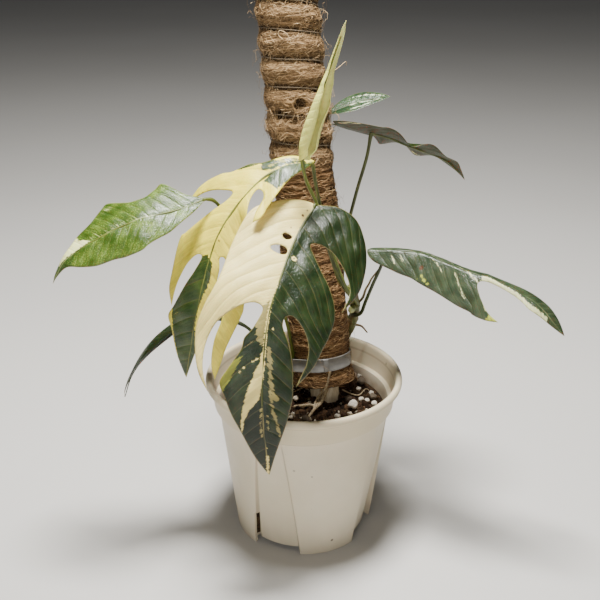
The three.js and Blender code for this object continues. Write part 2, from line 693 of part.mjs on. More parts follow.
// Swaps the diagonals of neighbouring triangles until they are as even as the outline lets them be.
function evenOut(points, triangles) {
  for (let pass = 0; pass < 40; pass += 1) {
    const edges = new Map();
    let swapped = false;
    triangles.forEach((triangle, index) => {
      for (let k = 0; k < 3; k += 1) {
        edges.set(`${triangle[k]}_${triangle[(k + 1) % 3]}`, index);
      }
    });
    const used = new Set();
    triangles.forEach((triangle, index) => {
      for (let k = 0; k < 3 && !used.has(index); k += 1) {
        const [a, b, c] = [triangle[k], triangle[(k + 1) % 3], triangle[(k + 2) % 3]];
        const other = edges.get(`${b}_${a}`);
        if (other !== undefined && !used.has(other)) {
          const d = triangles[other].find((vertex) => vertex !== a && vertex !== b);
          const convex = twiceArea(points[a], points[d], points[c]) > 1e-3
            && twiceArea(points[d], points[b], points[c]) > 1e-3;
          if (convex && isEncircled(points[a], points[b], points[c], points[d])) {
            triangles[index] = [a, d, c];
            triangles[other] = [d, b, c];
            used.add(index).add(other);
            swapped = true;
          }
        }
      }
    });
    if (!swapped) {
      break;
    }
  }
  return triangles;
}

function buildBlade(leaf) {
  const step = leaf.step ?? FIELD_STEP;
  let outline = leaf.outline.flatMap((run) => sampledRun(run, Math.min(MARGIN_STEP, step * 1.2)));
  if (THREE.ShapeUtils.isClockWise(outline)) {
    outline = outline.reverse();
  }
  const holes = leaf.holes.map(ellipse);
  const field = [];
  const xs = outline.map((p) => p.x);
  const ys = outline.map((p) => p.y);
  const rowGap = step * 0.866;
  for (let row = Math.ceil(Math.min(...ys) / rowGap); row * rowGap < Math.max(...ys); row += 1) {
    for (let x = Math.min(...xs) + (row % 2 ? step / 2 : 0); x < Math.max(...xs); x += step) {
      const point = new THREE.Vector2(x, row * rowGap + 0.001 * Math.sin(x));
      const clear = isInside(point, outline) && distanceToLoop(point, outline) > 0.42 * step
        && holes.every((hole) => !isInside(point, hole) && distanceToLoop(point, hole) > 0.42 * step);
      if (clear) {
        field.push(point);
      }
    }
  }
  const rings = [...holes, ...field.map((point) => [point])];
  const flat = [...outline, ...rings.flat()];
  let triangles = THREE.ShapeUtils.triangulateShape(outline, rings)
    .map(([a, b, c]) => (twiceArea(flat[a], flat[b], flat[c]) < 0 ? [a, c, b] : [a, b, c]));
  triangles = evenOut(flat, triangles);
  // Both faces lie half a thickness from the leaf's middle sheet, and walls close the margins.
  const lay = laidOver(leaf);
  const middle = flat.map((p) => lay(p.x, p.y));
  const normals = flat.map((p) => {
    const along = lay(p.x + 0.5, p.y).sub(lay(p.x - 0.5, p.y));
    const across = lay(p.x, p.y + 0.5).sub(lay(p.x, p.y - 0.5));
    return across.cross(along).normalize();
  });
  const upper = middle.map((p, i) => p.clone().addScaledVector(normals[i], BLADE_THICKNESS / 2));
  const lower = middle.map((p, i) => p.clone().addScaledVector(normals[i], -BLADE_THICKNESS / 2));
  const count = flat.length;
  const faces = [];
  const edges = new Set();
  for (const [a, b, c] of triangles) {
    faces.push([c, b, a], [a + count, b + count, c + count]);
    edges.add(`${a}_${b}`).add(`${b}_${c}`).add(`${c}_${a}`);
  }
  for (const edge of edges) {
    const [a, b] = edge.split("_").map(Number);
    if (!edges.has(`${b}_${a}`)) {
      faces.push([b + count, a + count, a], [b + count, a, b]);
    }
  }
  return { solid: solidFrom(geometryFrom([...upper, ...lower], faces)), lay };
}

// The midrib stands proud of the underside and runs on into the petiole.
function buildLeaf(leaf) {
  const { solid, lay } = buildBlade(leaf);
  const length = new THREE.CatmullRomCurve3(vectors(leaf.spine), false, "catmullrom", 0.5).getLength();
  const underside = (x) => {
    const along = lay(x + 0.5, 0).sub(lay(x - 0.5, 0));
    const across = lay(x, 0.5).sub(lay(x, -0.5));
    return lay(x, 0).addScaledVector(along.cross(across).normalize(), 1);
  };
  const ribPath = [0, 0.15, 0.3, 0.45, 0.6, 0.75, 0.9].map((share) => underside(share * length));
  const midrib = rod(ribPath, tapered(1.5, 0.5), 4, 10);
  const petiolePath = [underside(4), underside(0), ...vectors(leaf.petiole)];
  const petiole = rod(petiolePath, tapered(1.6, 2.1), 6, 3 + leaf.petiole.length * 2);
  return joined([solid, midrib, petiole]);
}

// Stem: a short vine behind the pole that rises to its right, with rings, aerial roots and a new shoot.

const STEM_PATH = vectors([
  [28, 64, 112], [30, 66, 145], [36, 67, 170], [49, 59, 196], [53, 45, 222], [51, 32, 243], [47, 26, 256],
]);

function stemRadius(extra) {
  return (share) => STEM_RADIUS - 1.2 * share + 0.7 * Math.max(0, Math.cos(share * 12 * Math.PI)) ** 6 + extra;
}

function buildStemRod(extra) {
  return rod(STEM_PATH, stemRadius(extra), 8, 20);
}

const AERIAL_ROOTS = [
  [[52, 40, 228], [60, 30, 244], [66, 18, 268], [76, 12, 284]],
  [[50, 30, 246], [52, 18, 258], [48, 16, 270], [46, 22, 278]],
  [[48, 56, 200], [62, 62, 196], [68, 66, 186]],
];
const SOIL_ROOTS = [
  [[38, 66, 172], [48, 72, 168], [50, 68, 156], [46, 60, 118]],
  [[32, 66, 150], [20, 72, 146], [14, 69, 118]],
  [[30, 66, 143], [34, 73, 140], [33, 66, 118]],
];

function buildStem() {
  const roots = [...AERIAL_ROOTS, ...SOIL_ROOTS].map((path) => rod(vectors(path), tapered(1.6, 0.9), 4, 6));
  const shoot = rod(vectors([[51, 36, 230], [48, 24, 232], [46, 14, 240]]), tapered(3.6, 0.8), 7, 6);
  return joined([buildStemRod(0), ...roots, shoot]);
}

// Potting mix: a lumpy plug with perlite, bark and pale roots worked into its top.
function buildSoil(holes) {
  const inset = POT_WALL + SOIL_CLEARANCE;
  const relief = (x, y) => SOIL_RELIEF * (Math.sin(x / 9 + 1) * Math.cos(y / 11) + 0.6 * Math.sin((x - y) / 6));
  const edge = potRow(SOIL_LEVEL - 1, inset);
  const rings = [1, 0.84, 0.62, 0.4, 0.2].map((share) => edge.map((p) => {
    const [x, y] = [p.x * share, p.y * share];
    return new THREE.Vector3(x, y, SOIL_LEVEL - 1 + (share < 1 ? 1 + relief(x, y) : 0));
  }));
  const plug = solidFrom(skin([potRow(FLOOR_TOP + 0.4, inset), potRow(70, inset), ...rings]));
  const random = makeRandom(7);
  const lumps = [];
  for (let i = 0; i < PERLITE_COUNT + BARK_COUNT; i += 1) {
    const angle = 2 * Math.PI * random();
    const radius = 78 * Math.sqrt(random());
    const size = 2.4 + 2.6 * random();
    const isPerlite = i < PERLITE_COUNT;
    const lump = isPerlite ? new THREE.IcosahedronGeometry(size, 0) : new THREE.BoxGeometry(size * 3.2, size * 1.8, size);
    lump.rotateX(3 * random()).rotateZ(6 * random());
    const [x, y] = [radius * Math.cos(angle), radius * Math.sin(angle)];
    lump.translate(x, y, SOIL_LEVEL + relief(x, y) + (isPerlite ? 0.25 * size : 0.6));
    lumps.push(solidFrom(lump));
  }
  const roots = [
    [[20, 8, 146], [8, -8, 141], [-2, -22, 137], [-8, -30, 128]],
    [[14, 12, 147], [0, 0, 141], [-14, -8, 136], [-22, -10, 126]],
    [[28, 4, 146], [30, -10, 141], [34, -24, 136], [38, -30, 127]],
    [[34, 10, 144], [46, 0, 140], [56, -6, 134], [62, -8, 125]],
  ].map((path) => rod(vectors(path), tapered(2.6, 1.4), 5, 6));
  return mainShell(holes.reduce((soil, hole) => soil.subtract(hole), joined([plug, ...lumps, ...roots])));
}

// Assembly

const plant = new THREE.Group();
plant.name = "potted_epipremnum_pinnatum";

function addPiece(name, solid, color, roughness) {
  const material = new THREE.MeshStandardMaterial({ color, roughness, metalness: 0 });
  const mesh = new THREE.Mesh(geometryOf(solid), material);
  mesh.name = name;
  plant.add(mesh);
}

function widened(path, radius) {
  return rod(path, () => radius + FIT_GAP, 6, 10);
}

const stemCutter = buildStemRod(FIT_GAP);
const leftPetioles = ["leaf_left_speckled", "leaf_low_narrow"].map((name) => {
  const { petiole } = LEAVES[name];
  return widened(vectors(petiole.slice(-4)), 2.4);
});

addPiece("pot", buildPot(), 0xe9e4d8, 0.45);
const soil = buildSoil([
  poleDisc(-CORE_BELOW - 1, 60, CORE_RADIUS + FIT_GAP, 24),
  poleDisc(COIR_BOTTOM - 1, 60, 38, 12),
  stemCutter,
  ...SOIL_ROOTS.map((path) => widened(vectors(path), 1.6)),
  ...leftPetioles,
]);
addPiece("potting_mix", soil, 0x33261d, 0.95);
addPiece("pole_core", buildCore(), 0xc9bda6, 0.7);
addPiece("pole_coir", buildCoir(), 0x8a6239, 0.95);
addPiece("pole_twine", buildTwine(), 0x5c4a34, 0.8);
addPiece("pole_strap", buildStrap(), 0xd9dadb, 0.3);
addPiece("stem", buildStem(), 0x6d7b3c, 0.6);
Object.entries(LEAVES).forEach(([name, leaf]) => {
  addPiece(name, mainShell(buildLeaf(leaf).subtract(stemCutter)), leaf.color, 0.4);
});

export default plant;
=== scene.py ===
"""A potted variegated epipremnum pinnatum on a coir pole: its finishes, and its fine shapes."""

import math

import bpy
import numpy as np
from bpy.props import FloatProperty, IntProperty, PointerProperty
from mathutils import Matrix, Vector
from mathutils.geometry import delaunay_2d_cdt


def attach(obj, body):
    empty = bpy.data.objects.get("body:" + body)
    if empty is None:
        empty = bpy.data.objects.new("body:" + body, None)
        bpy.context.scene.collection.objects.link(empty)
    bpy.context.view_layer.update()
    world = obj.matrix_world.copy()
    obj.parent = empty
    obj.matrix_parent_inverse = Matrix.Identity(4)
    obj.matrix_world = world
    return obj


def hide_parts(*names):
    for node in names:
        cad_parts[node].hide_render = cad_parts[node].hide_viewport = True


bl_info = {
    "name": "Potted variegated epipremnum pinnatum",
    "version": (1, 0, 0),
    "blender": (4, 5, 0),
    "location": "3D View > Sidebar > Plant",
    "description": "Makes a climbing aroid with cut, half-cream leaves, its coir pole and its nursery pot",
    "category": "Add Mesh",
}

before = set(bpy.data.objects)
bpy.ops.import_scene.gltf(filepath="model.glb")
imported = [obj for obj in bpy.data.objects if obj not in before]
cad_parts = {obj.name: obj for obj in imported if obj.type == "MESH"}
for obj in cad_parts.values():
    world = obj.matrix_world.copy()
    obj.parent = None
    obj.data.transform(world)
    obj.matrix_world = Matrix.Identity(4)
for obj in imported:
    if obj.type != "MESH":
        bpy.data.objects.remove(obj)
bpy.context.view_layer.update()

# Sizes below are in millimetres, as on the solids. Pieces are made in metres.
MM = 0.001
BODY = "root"

# Lamps: the place that they face, in metres
LAMP_AIM = (0, 0, 0.24)

# Camera: it looks down on the plant from the front.
CAMERA_PLACE = (-3.9, -898.6, 658.5)
CAMERA_DOWN = 24.22
CAMERA_LENS = 60.0
CAMERA_SENSOR = 36.0

# Pot
POT_FOOT_RADIUS = 70.6
POT_BODY_TOP_RADIUS = 87.4
POT_BODY_TOP = 143.0
POT_WALL = 2.0
RECESS_DEPTH = 7.0
RECESS_CENTRE = -23.4
RECESS_HALF_FOOT = 20.5
RECESS_HALF_TOP = 9.0
RECESS_LIFT = 5.0
RECESS_STEP = 1.2
SLOT_WIDTH = 3.0
SLOT_HEIGHT = 41.0
FLOOR_UNDERSIDE = 7.5
FLOOR_TOP = 10.0
DRAIN_RADIUS = 6.0
DRAIN_CIRCLE = 42.0
DRAIN_COUNT = 5
DRAIN_TURN = 20.0
SLOT_SHIFT = 0.15
SLOT_INWARD = 18.0
SLOT_OUTWARD = 6.0
EDGE_SOFTNESS = 0.5
RIM_OUTSIDE = [(91.6, 143.8), (93.1, 154), (94.6, 164.6), (97.4, 165.0), (99.0, 166.0), (99.8, 167.4),
               (100, 168.8), (99.8, 170.4), (99.2, 171.9), (98.1, 173.0), (96.6, 173.4)]
RIM_INSIDE = [(95.2, 173.1), (94.2, 172.3), (93.6, 171.1), (93.2, 169.4), (91.8, 160), (90.2, 149),
              (86.1, 147.6)]

# Pot's finish: how far the wall and the recesses lean out as they rise, the radius at the foot where the
# inside of each begins, and the heights of the lines of painted shade under the band and under the lip. A
# speck has its place, radius and strength.
WALL_SLOPE = 0.12
RECESS_SLOPE = 0.166
WALL_FOOT_INSIDE = 68.8
RECESS_FOOT_INSIDE = 62.2
BAND_SHADE_HEIGHT = 141.9
LIP_SHADE_HEIGHT = 163.6
POT_SPECKS = [((28.8, -66.4, 14.9), 1.6, 0.8), ((-9.7, -83, 109.9), 1.3, 0.45),
              ((7.8, -82.2, 102.5), 1.0, 0.5), ((86.5, 32.7, 165.8), 1.7, 0.85), ((40, -73, 60), 0.9, 0.5)]

# Potting mix
SOIL_LEVEL = 135.0
SOIL_RELIEF = 2.4
SOIL_CLEARANCE = 0.5

# Pole: heights are above the potting mix, along a leaning axis.
POLE_FOOT = np.array([22.5, 22.0, SOIL_LEVEL])
POLE_LEAN = np.array([-0.1, 0.2, 1.0])
CORE_RADIUS = 15.0
CORE_BELOW = 75.0
COIR_BOTTOM = 17.0
COIR_TOP = 412.0
CORE_TOP = 416.0
COIR_LOW_RADIUS = 31.0
GROOVE_RADIUS = 28.4
BULGE_RADIUS = 32.4
BULGE_PITCH = 26.4
BULGE_START = 238.0
GROOVE_HALF = 1.8
TWINE_RADIUS = 0.55
TWINE_SEAT = 29.3

# Strap round the pole and one petiole
STRAP_BOTTOM = 33.0
STRAP_TOP = 46.5
STRAP_INSIDE = 30.0
STRAP_THICKNESS = 0.9
STRAP_EDGE = 0.3
STRAP_SINK = 0.25
STRAP_BULGE = 6.2
STRAP_BULGE_ANGLE = 202.0
STRAP_LOCK_ANGLE = 278.0
STRAP_MIDDLE = (STRAP_BOTTOM + STRAP_TOP) / 2

# Leaves
BLADE_THICKNESS = 0.55
VEIN_SWEEP = 0.55
VEIN_BEND = 0.009
MESH_ROW_STEP = 0.866
MARK_REACH = 9.0
STEM_RADIUS = 6.0
STEM_RINGS = 6

# Unevenness: how many waves are added together, over flat places and round the pole
PLANE_WAVES = 9
ROUND_WAVES = 8


# Geometry helpers

def lerp(a, b, t):
    return a + (b - a) * t


def smooth(value, low, high):
    t = np.clip((value - low) / (high - low), 0.0, 1.0)
    return t * t * (3.0 - 2.0 * t)


def unit(vectors):
    vectors = np.asarray(vectors, float)
    return vectors / np.maximum(np.linalg.norm(vectors, axis=-1, keepdims=True), 1e-9)


def waves(points, scale, seed):
    """A smooth uneven number near -1 to 1 for each point, from plane waves about scale millimetres long."""
    draw = np.random.default_rng(seed)
    total = 0.0
    for _ in range(PLANE_WAVES):
        direction = unit(draw.normal(size=points.shape[-1]))
        length = scale * draw.uniform(0.6, 1.5)
        total = total + np.sin(points @ direction * (2 * math.pi / length) + draw.uniform(0, 2 * math.pi))
    return total / math.sqrt(PLANE_WAVES)


def full_turn(count):
    """Angles all round, evenly spaced."""
    return np.linspace(0, 2 * math.pi, count, endpoint=False)


def linked(name, data):
    """A new object in the scene."""
    made = bpy.data.objects.new(name, data)
    bpy.context.scene.collection.objects.link(made)
    return made


def evaluated_mesh(piece):
    """A piece's mesh with its modifiers made part of it."""
    graph = bpy.context.evaluated_depsgraph_get()
    return bpy.data.meshes.new_from_object(piece.evaluated_get(graph), depsgraph=graph)


class Track:
    """A smooth curve through points, read by the distance along it."""

    def __init__(self, knots, fineness=60):
        knots = np.array(knots, float)
        padded = np.vstack([2 * knots[0] - knots[1], knots, 2 * knots[-1] - knots[-2]])
        spans = np.linspace(0, len(knots) - 1, fineness * (len(knots) - 1) + 1)
        first = np.minimum(spans.astype(int), len(knots) - 2)
        t = (spans - first)[:, None]
        before, start, end, after = (padded[first + k] for k in range(4))
        leaving, arriving = (end - before) / 2, (after - start) / 2
        cubic = 2 * start - 2 * end + leaving + arriving
        square = -3 * start + 3 * end - 2 * leaving - arriving
        self.points = cubic * t**3 + square * t**2 + leaving * t + start
        self.tangents = unit(np.gradient(self.points, axis=0))
        steps = np.linalg.norm(np.diff(self.points, axis=0), axis=1)
        self.distances = np.concatenate([[0.0], np.cumsum(steps)])
        self.length = self.distances[-1]

    def read(self, table, distance):
        columns = [np.interp(distance, self.distances, table[:, k]) for k in range(table.shape[1])]
        return np.stack(columns, axis=-1)

    def at(self, distance):
        return self.read(self.points, distance)

    def along(self, distance):
        return unit(self.read(self.tangents, distance))


class Form:
    """Points and faces gathered for one piece, with numbers or vectors for each point under each name."""

    def __init__(self):
        self.points = []
        self.faces = []
        self.face_slots = []
        self.values = {}
        self.count = 0

    def add(self, points, faces, slot=0, **values):
        points = np.asarray(points, float).reshape(-1, 3)
        self.points.append(points)
        self.faces += [tuple(self.count + i for i in face) for face in faces]
        self.face_slots += [slot] * len(faces)
        for name, value in values.items():
            value = np.asarray(value, float)
            width = (3,) if value.shape and value.shape[-1] == 3 and value.ndim == 2 else ()
            full = np.broadcast_to(value, (len(points),) + width)
            self.values.setdefault(name, []).append((self.count, full))
        self.count += len(points)
        return self

    def add_rings(self, rows, close=False):
        """Adds a sheet through rings of points. close joins the last ring to the first."""
        return self.add(np.concatenate(rows), ring_faces(len(rows), len(rows[0]), close))

    def add_stack(self, rows, **values):
        """Adds a closed solid from rings of points, capped at both ends."""
        middles = [rows[end].mean(0)[None] for end in (0, -1)]
        return self.add(np.concatenate(rows + middles), stack_faces(len(rows), len(rows[0])), **values)

    def piece(self, name, materials, sharp_angle=None):
        """The mesh piece, with a shading break where faces meet at more than sharp_angle degrees."""
        mesh = bpy.data.meshes.new(name)
        mesh.from_pydata((np.concatenate(self.points) * MM).tolist(), [], self.faces)
        for material in materials:
            mesh.materials.append(material)
        mesh.polygons.foreach_set("material_index", self.face_slots)
        mesh.polygons.foreach_set("use_smooth", [True] * len(self.faces))
        for value_name, blocks in self.values.items():
            wide = blocks[0][1].ndim == 2
            attribute = mesh.attributes.new(value_name, "FLOAT_VECTOR" if wide else "FLOAT", "POINT")
            table = np.zeros((self.count, 3) if wide else self.count, np.float32)
            for start, block in blocks:
                table[start:start + len(block)] = block
            attribute.data.foreach_set("vector" if wide else "value", table.ravel())
        if sharp_angle is not None:
            mesh.set_sharp_from_angle(angle=math.radians(sharp_angle))
        mesh.update()
        return linked(name, mesh)


def ring_faces(rows, columns, close=False):
    """Faces between rings of points. close joins the last ring to the first."""
    faces = []
    for i in range(rows if close else rows - 1):
        below, above = i * columns, ((i + 1) % rows) * columns
        for j in range(columns):
            k = (j + 1) % columns
            faces.append((below + j, below + k, above + k, above + j))
    return faces


def stack_faces(rows, columns):
    """Faces of a stack of rings, with caps to the two points that follow them."""
    faces = ring_faces(rows, columns)
    last, first_middle = (rows - 1) * columns, rows * columns
    for j in range(columns):
        k = (j + 1) % columns
        faces += [(k, j, first_middle), (last + j, last + k, first_middle + 1)]
    return faces


def tube(form, path, radius, sides, step, slot=0, squash=1.0, groove=0.0, wander=0.0, seed=1, kind=0.0,
         **values):
    """A closed round rod along a path. radius is read at shares of the length, and groove flattens one side.

    Its flat vector holds the distance along it, the distance round it and its kind.
    """
    track = Track(path)
    count = max(4, int(track.length / step) + 1)
    share = np.linspace(0, 1, count)
    centres = track.at(share * track.length)
    if wander:
        centres = centres + wander * np.stack([waves(centres, 22, seed + k) for k in range(3)], axis=-1)
    tangents = unit(np.gradient(centres, axis=0))
    normal = unit(np.cross(tangents[0], [0.31, 0.87, 0.23]))
    angles = full_turn(sides)
    rows = []
    for centre, tangent, r in zip(centres, tangents, radius(share)):
        normal = unit(normal - tangent * (normal @ tangent))
        side = np.cross(tangent, normal)
        reach = r * (1 - groove * np.maximum(0, np.cos(angles)) ** 6)
        rows.append(centre + np.outer(reach * np.cos(angles), normal)
                    + np.outer(reach * squash * np.sin(angles), side))
    points = np.concatenate(rows + [centres[:1], centres[-1:]])
    run = np.concatenate([np.repeat(share * track.length, sides), [0, track.length]])
    turn = np.concatenate([np.tile(angles, count), [0, 0]])
    flat = np.stack([run, turn * np.max(radius(share)), np.full(len(run), kind)], axis=-1)
    form.add(points, stack_faces(count, sides), slot, flat=flat, **values)


def tapered(thick, thin):
    return lambda share: lerp(thick, thin, share)


def is_inside(points, loop):
    x, y = points[:, None, 0], points[:, None, 1]
    a, b = loop, np.roll(loop, -1, axis=0)
    crosses = (a[:, 1] > y) != (b[:, 1] > y)
    rise = np.where(b[:, 1] == a[:, 1], 1e-9, b[:, 1] - a[:, 1])
    return np.sum(crosses & (x < (b[:, 0] - a[:, 0]) * (y - a[:, 1]) / rise + a[:, 0]), axis=1) % 2 == 1


def distance_to(points, line, closed=True):
    a = line if closed else line[:-1]
    b = np.roll(line, -1, axis=0) if closed else line[1:]
    nearest = np.full(len(points), np.inf)
    for p, q in zip(a, b):
        edge = q - p
        t = np.clip((points - p) @ edge / max(edge @ edge, 1e-9), 0, 1)
        nearest = np.minimum(nearest, np.linalg.norm(points - p - t[:, None] * edge, axis=1))
    return nearest


# Node helpers

class Wire:
    """A socket of a node tree. Python's operators on it add Math nodes."""

    def __init__(self, tree, socket):
        self.tree = tree
        self.socket = socket

    def math(self, operation, *values):
        return self.tree.node("ShaderNodeMath", {"operation": operation}, dict(enumerate(values)))

    def other(self, output):
        """Another output of the same node."""
        return Wire(self.tree, self.socket.node.outputs[output])

    def __add__(self, other):
        return self.math("ADD", self, other)

    def __sub__(self, other):
        return self.math("SUBTRACT", self, other)

    def __rsub__(self, other):
        return self.math("SUBTRACT", other, self)

    def __mul__(self, other):
        return self.math("MULTIPLY", self, other)

    def __pow__(self, other):
        return self.math("POWER", self, other)

    def __neg__(self):
        return self.math("MULTIPLY", self, -1.0)

    __radd__ = __add__
    __rmul__ = __mul__

    def larger(self, other):
        return self.math("MAXIMUM", self, other)

    def to_whole(self):
        """The distance to the nearest whole number."""
        return self.math("PINGPONG", self, 0.5)

    def between(self, low, high):
        """0 under low and 1 over high, with a smooth step."""
        return self.tree.node("ShaderNodeMapRange", {"interpolation_type": "SMOOTHSTEP"},
                              {"Value": self, "From Min": low, "From Max": high})

    def below(self, low, high):
        """1 under low and 0 over high, with a smooth step."""
        return 1.0 - self.between(low, high)

    def near(self, value, inner, outer):
        """1 within inner of a value and 0 beyond outer."""
        offset = self - value
        return self.math("ABSOLUTE", offset).below(inner, outer)


class Tree:
    """A node tree, with the one method that adds nodes to it."""

    def __init__(self, tree):
        self.tree = tree
        self.tree.nodes.clear()

    def node(self, kind, settings=None, values=None, output=0):
        node = self.tree.nodes.new(kind)
        for name, value in (settings or {}).items():
            setattr(node, name, value)
        for socket, value in (values or {}).items():
            if isinstance(value, Wire):
                self.tree.links.new(value.socket, node.inputs[socket])
            else:
                node.inputs[socket].default_value = value
        return Wire(self, node.outputs[output]) if len(node.outputs) else node


MIX_FACTOR, MIX_A, MIX_B, MIX_RESULT = 0, 6, 7, 2


class Paint(Tree):
    """One material, painted coat over coat. Colours are red, green and blue, linear."""

    def __init__(self, name):
        self.material = bpy.data.materials.new(name)
        self.material.use_nodes = True
        super().__init__(self.material.node_tree)
        self.colour = None

    def place(self):
        return self.node("ShaderNodeTexCoord", output="Object")

    def value(self, name):
        return self.node("ShaderNodeAttribute", {"attribute_name": name}, output="Fac")

    def vector(self, name):
        return self.node("ShaderNodeAttribute", {"attribute_name": name}, output="Vector")

    def part(self, vector, axis):
        return self.node("ShaderNodeSeparateXYZ", values={"Vector": vector}, output=axis)

    def scaled(self, vector, scale, shift=(0, 0, 0)):
        return self.node("ShaderNodeMapping", values={"Vector": vector, "Scale": scale, "Location": shift})

    def noise(self, vector, scale, detail=3.0, roughness=0.5, distortion=0.0):
        return self.node("ShaderNodeTexNoise", values={
            "Vector": vector, "Scale": scale, "Detail": detail, "Roughness": roughness,
            "Distortion": distortion})

    def grain(self, vector, scale, detail=3.0, roughness=0.5, distortion=0.0, shift=(0, 0, 0)):
        """Noise with a scale of its own along each axis."""
        return self.noise(self.scaled(vector, scale, shift), 1.0, detail, roughness, distortion)

    def cells(self, vector, scale, feature="F1"):
        return self.node("ShaderNodeTexVoronoi", {"feature": feature}, {"Vector": vector, "Scale": scale},
                         "Distance")

    def mix(self, factor, a, b):
        a, b = (value if isinstance(value, Wire) else (*value, 1.0) for value in (a, b))
        return self.node("ShaderNodeMix", {"data_type": "RGBA"},
                         {MIX_FACTOR: factor, MIX_A: a, MIX_B: b}, MIX_RESULT)

    def base(self, factor, a, b):
        """Starts the colour as a mix of two."""
        self.colour = self.mix(factor, a, b)

    def coat(self, factor, colour):
        """Lays a colour over the paint."""
        self.colour = self.mix(factor, self.colour, colour)

    def bump(self, height, strength, distance):
        return self.node("ShaderNodeBump", values={
            "Height": height, "Strength": strength, "Distance": distance})

    def finish(self, roughness, normal=None, **constants):
        values = {"Base Color": self.colour, "Roughness": roughness}
        if normal is not None:
            values["Normal"] = normal
        for name, value in constants.items():
            values[name.replace("_", " ").title().replace("Ior", "IOR")] = value
        surface = self.node("ShaderNodeBsdfPrincipled", values=values)
        self.node("ShaderNodeOutputMaterial", values={"Surface": surface})
        return self.material


class Shape(Tree):
    """A geometry tree with named inputs. It runs on a piece and leaves a plain mesh there."""

    def __init__(self, name, inputs):
        super().__init__(bpy.data.node_groups.new(name, "GeometryNodeTree"))
        face = self.tree.interface
        for side in ("INPUT", "OUTPUT"):
            face.new_socket("Geometry", in_out=side, socket_type="NodeSocketGeometry")
        for kind, names in inputs.items():
            for input_name in names:
                face.new_socket(input_name, in_out="INPUT", socket_type="NodeSocket" + kind)
        self.start = self.tree.nodes.new("NodeGroupInput")

    def given(self, name):
        return Wire(self, self.start.outputs[name])

    def realized(self, geometry):
        return self.node("GeometryNodeRealizeInstances", values={"Geometry": geometry})

    def ending(self, geometry):
        painted = self.node("GeometryNodeSetMaterial", values={
            "Geometry": self.realized(geometry), "Material": self.given("Material")})
        self.node("NodeGroupOutput", values={"Geometry": painted})

    def moved(self, geometry, **change):
        """Moves points by an Offset or to a Position."""
        return self.node("GeometryNodeSetPosition", values={"Geometry": geometry, **change})

    def parts(self, **values):
        """A vector from its X, Y and Z."""
        return self.node("ShaderNodeCombineXYZ", values=values)

    def vector_math(self, operation, *values, output=0):
        return self.node("ShaderNodeVectorMath", {"operation": operation}, dict(enumerate(values)), output)

    def stretch(self, vector, amount):
        return self.node("ShaderNodeVectorMath", {"operation": "SCALE"}, {"Vector": vector, "Scale": amount})

    def centred_noise(self, scale):
        """A vector that wanders evenly round zero with the place, from -0.5 to 0.5."""
        colour = self.node("ShaderNodeTexNoise", values={"Scale": scale, "Detail": 1.0}, output="Color")
        return self.vector_math("SUBTRACT", colour, (0.5, 0.5, 0.5))

    def random(self, low, high, seed):
        return self.node("FunctionNodeRandomValue", {"data_type": "FLOAT"}, {2: low, 3: high, 8: seed}, 1)

    def scattered(self):
        """Points over the surface that the tree runs on."""
        return self.node("GeometryNodeDistributePointsOnFaces", values={
            "Mesh": self.given("Geometry"), "Density": self.given("Density"), "Seed": self.given("Seed")})

    def copies(self, points, pattern, turn, scale):
        """A copy of the pattern on each point, with a tone of its own from 0 to 1."""
        placed = self.node("GeometryNodeInstanceOnPoints", values={
            "Points": points, "Instance": pattern, "Rotation": turn, "Scale": scale})
        toned = self.node("GeometryNodeStoreNamedAttribute", {"data_type": "FLOAT", "domain": "INSTANCE"}, {
            "Geometry": placed, "Name": "tone", "Value": self.random(0.0, 1.0, self.given("Seed") + 2)})
        return self.realized(toned)

    def run(self, source, name, **inputs):
        """Runs the tree on a copy of the source and returns the result as a plain mesh piece."""
        carrier = linked(name + "_carrier", source.data)
        modifier = carrier.modifiers.new("shape", "NODES")
        modifier.node_group = self.tree
        for socket in self.tree.interface.items_tree:
            if socket.in_out == "INPUT" and socket.name in inputs:
                modifier[socket.identifier] = inputs[socket.name]
        mesh = evaluated_mesh(carrier)
        mesh.name = name
        bpy.data.objects.remove(carrier)
        return linked(name, mesh)


def keep(piece, slot, *nodes):
    """Fixes a finished piece to the plant's body."""
    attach(piece, BODY)
    if nodes:
        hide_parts(*nodes)


def apply_modifiers(piece):
    mesh = evaluated_mesh(piece)
    piece.modifiers.clear()
    piece.data = mesh


# Pot: a round wall with four tapering recesses, a rolled rim band, slots and a floor with drain holes

def pot_columns(recess_count, panel_count):
    """Quarter, whether on the recess, and the place across it, for each column round the pot."""
    columns = []
    for quarter in range(4):
        columns += [(quarter, 1, side) for side in np.linspace(-1, 1, recess_count)]
        columns += [(quarter, 0, side) for side in np.linspace(0, 1, panel_count)]
    return np.array(columns, float)


def recess_half(z):
    return lerp(RECESS_HALF_FOOT, RECESS_HALF_TOP, np.minimum(z / POT_BODY_TOP, 1))


def around(azimuth, radius, z):
    angle = np.radians(azimuth)
    return np.stack([radius * np.sin(angle), -radius * np.cos(angle), z + 0 * angle], axis=-1)


def pot_azimuth(columns, z, inset):
    quarter, recess, side = columns.T
    centre = RECESS_CENTRE + 90 * quarter
    half = recess_half(z) + 0.75 * inset
    return np.where(recess > 0, centre + side * (half - RECESS_STEP), centre + half + side * (90 - 2 * half))


def pot_row(columns, height, inset):
    recess = columns[:, 1] > 0
    z = np.where((height == 0) & recess, RECESS_LIFT, height * np.ones(len(columns)))
    share = z / POT_BODY_TOP
    depth = np.where(recess, RECESS_DEPTH * (1 - share), 0)
    radius = lerp(POT_FOOT_RADIUS, POT_BODY_TOP_RADIUS, share) - depth
    return around(pot_azimuth(columns, z, inset), radius - inset, z)


def pot_rim_row(columns, radius, z):
    return around(pot_azimuth(columns, z, 0), radius, z)


def boolean(piece, operation, other):
    cut = piece.modifiers.new(operation, "BOOLEAN")
    cut.operation = operation
    cut.solver = "EXACT"
    cut.object = other
    apply_modifiers(piece)
    bpy.data.objects.remove(other)


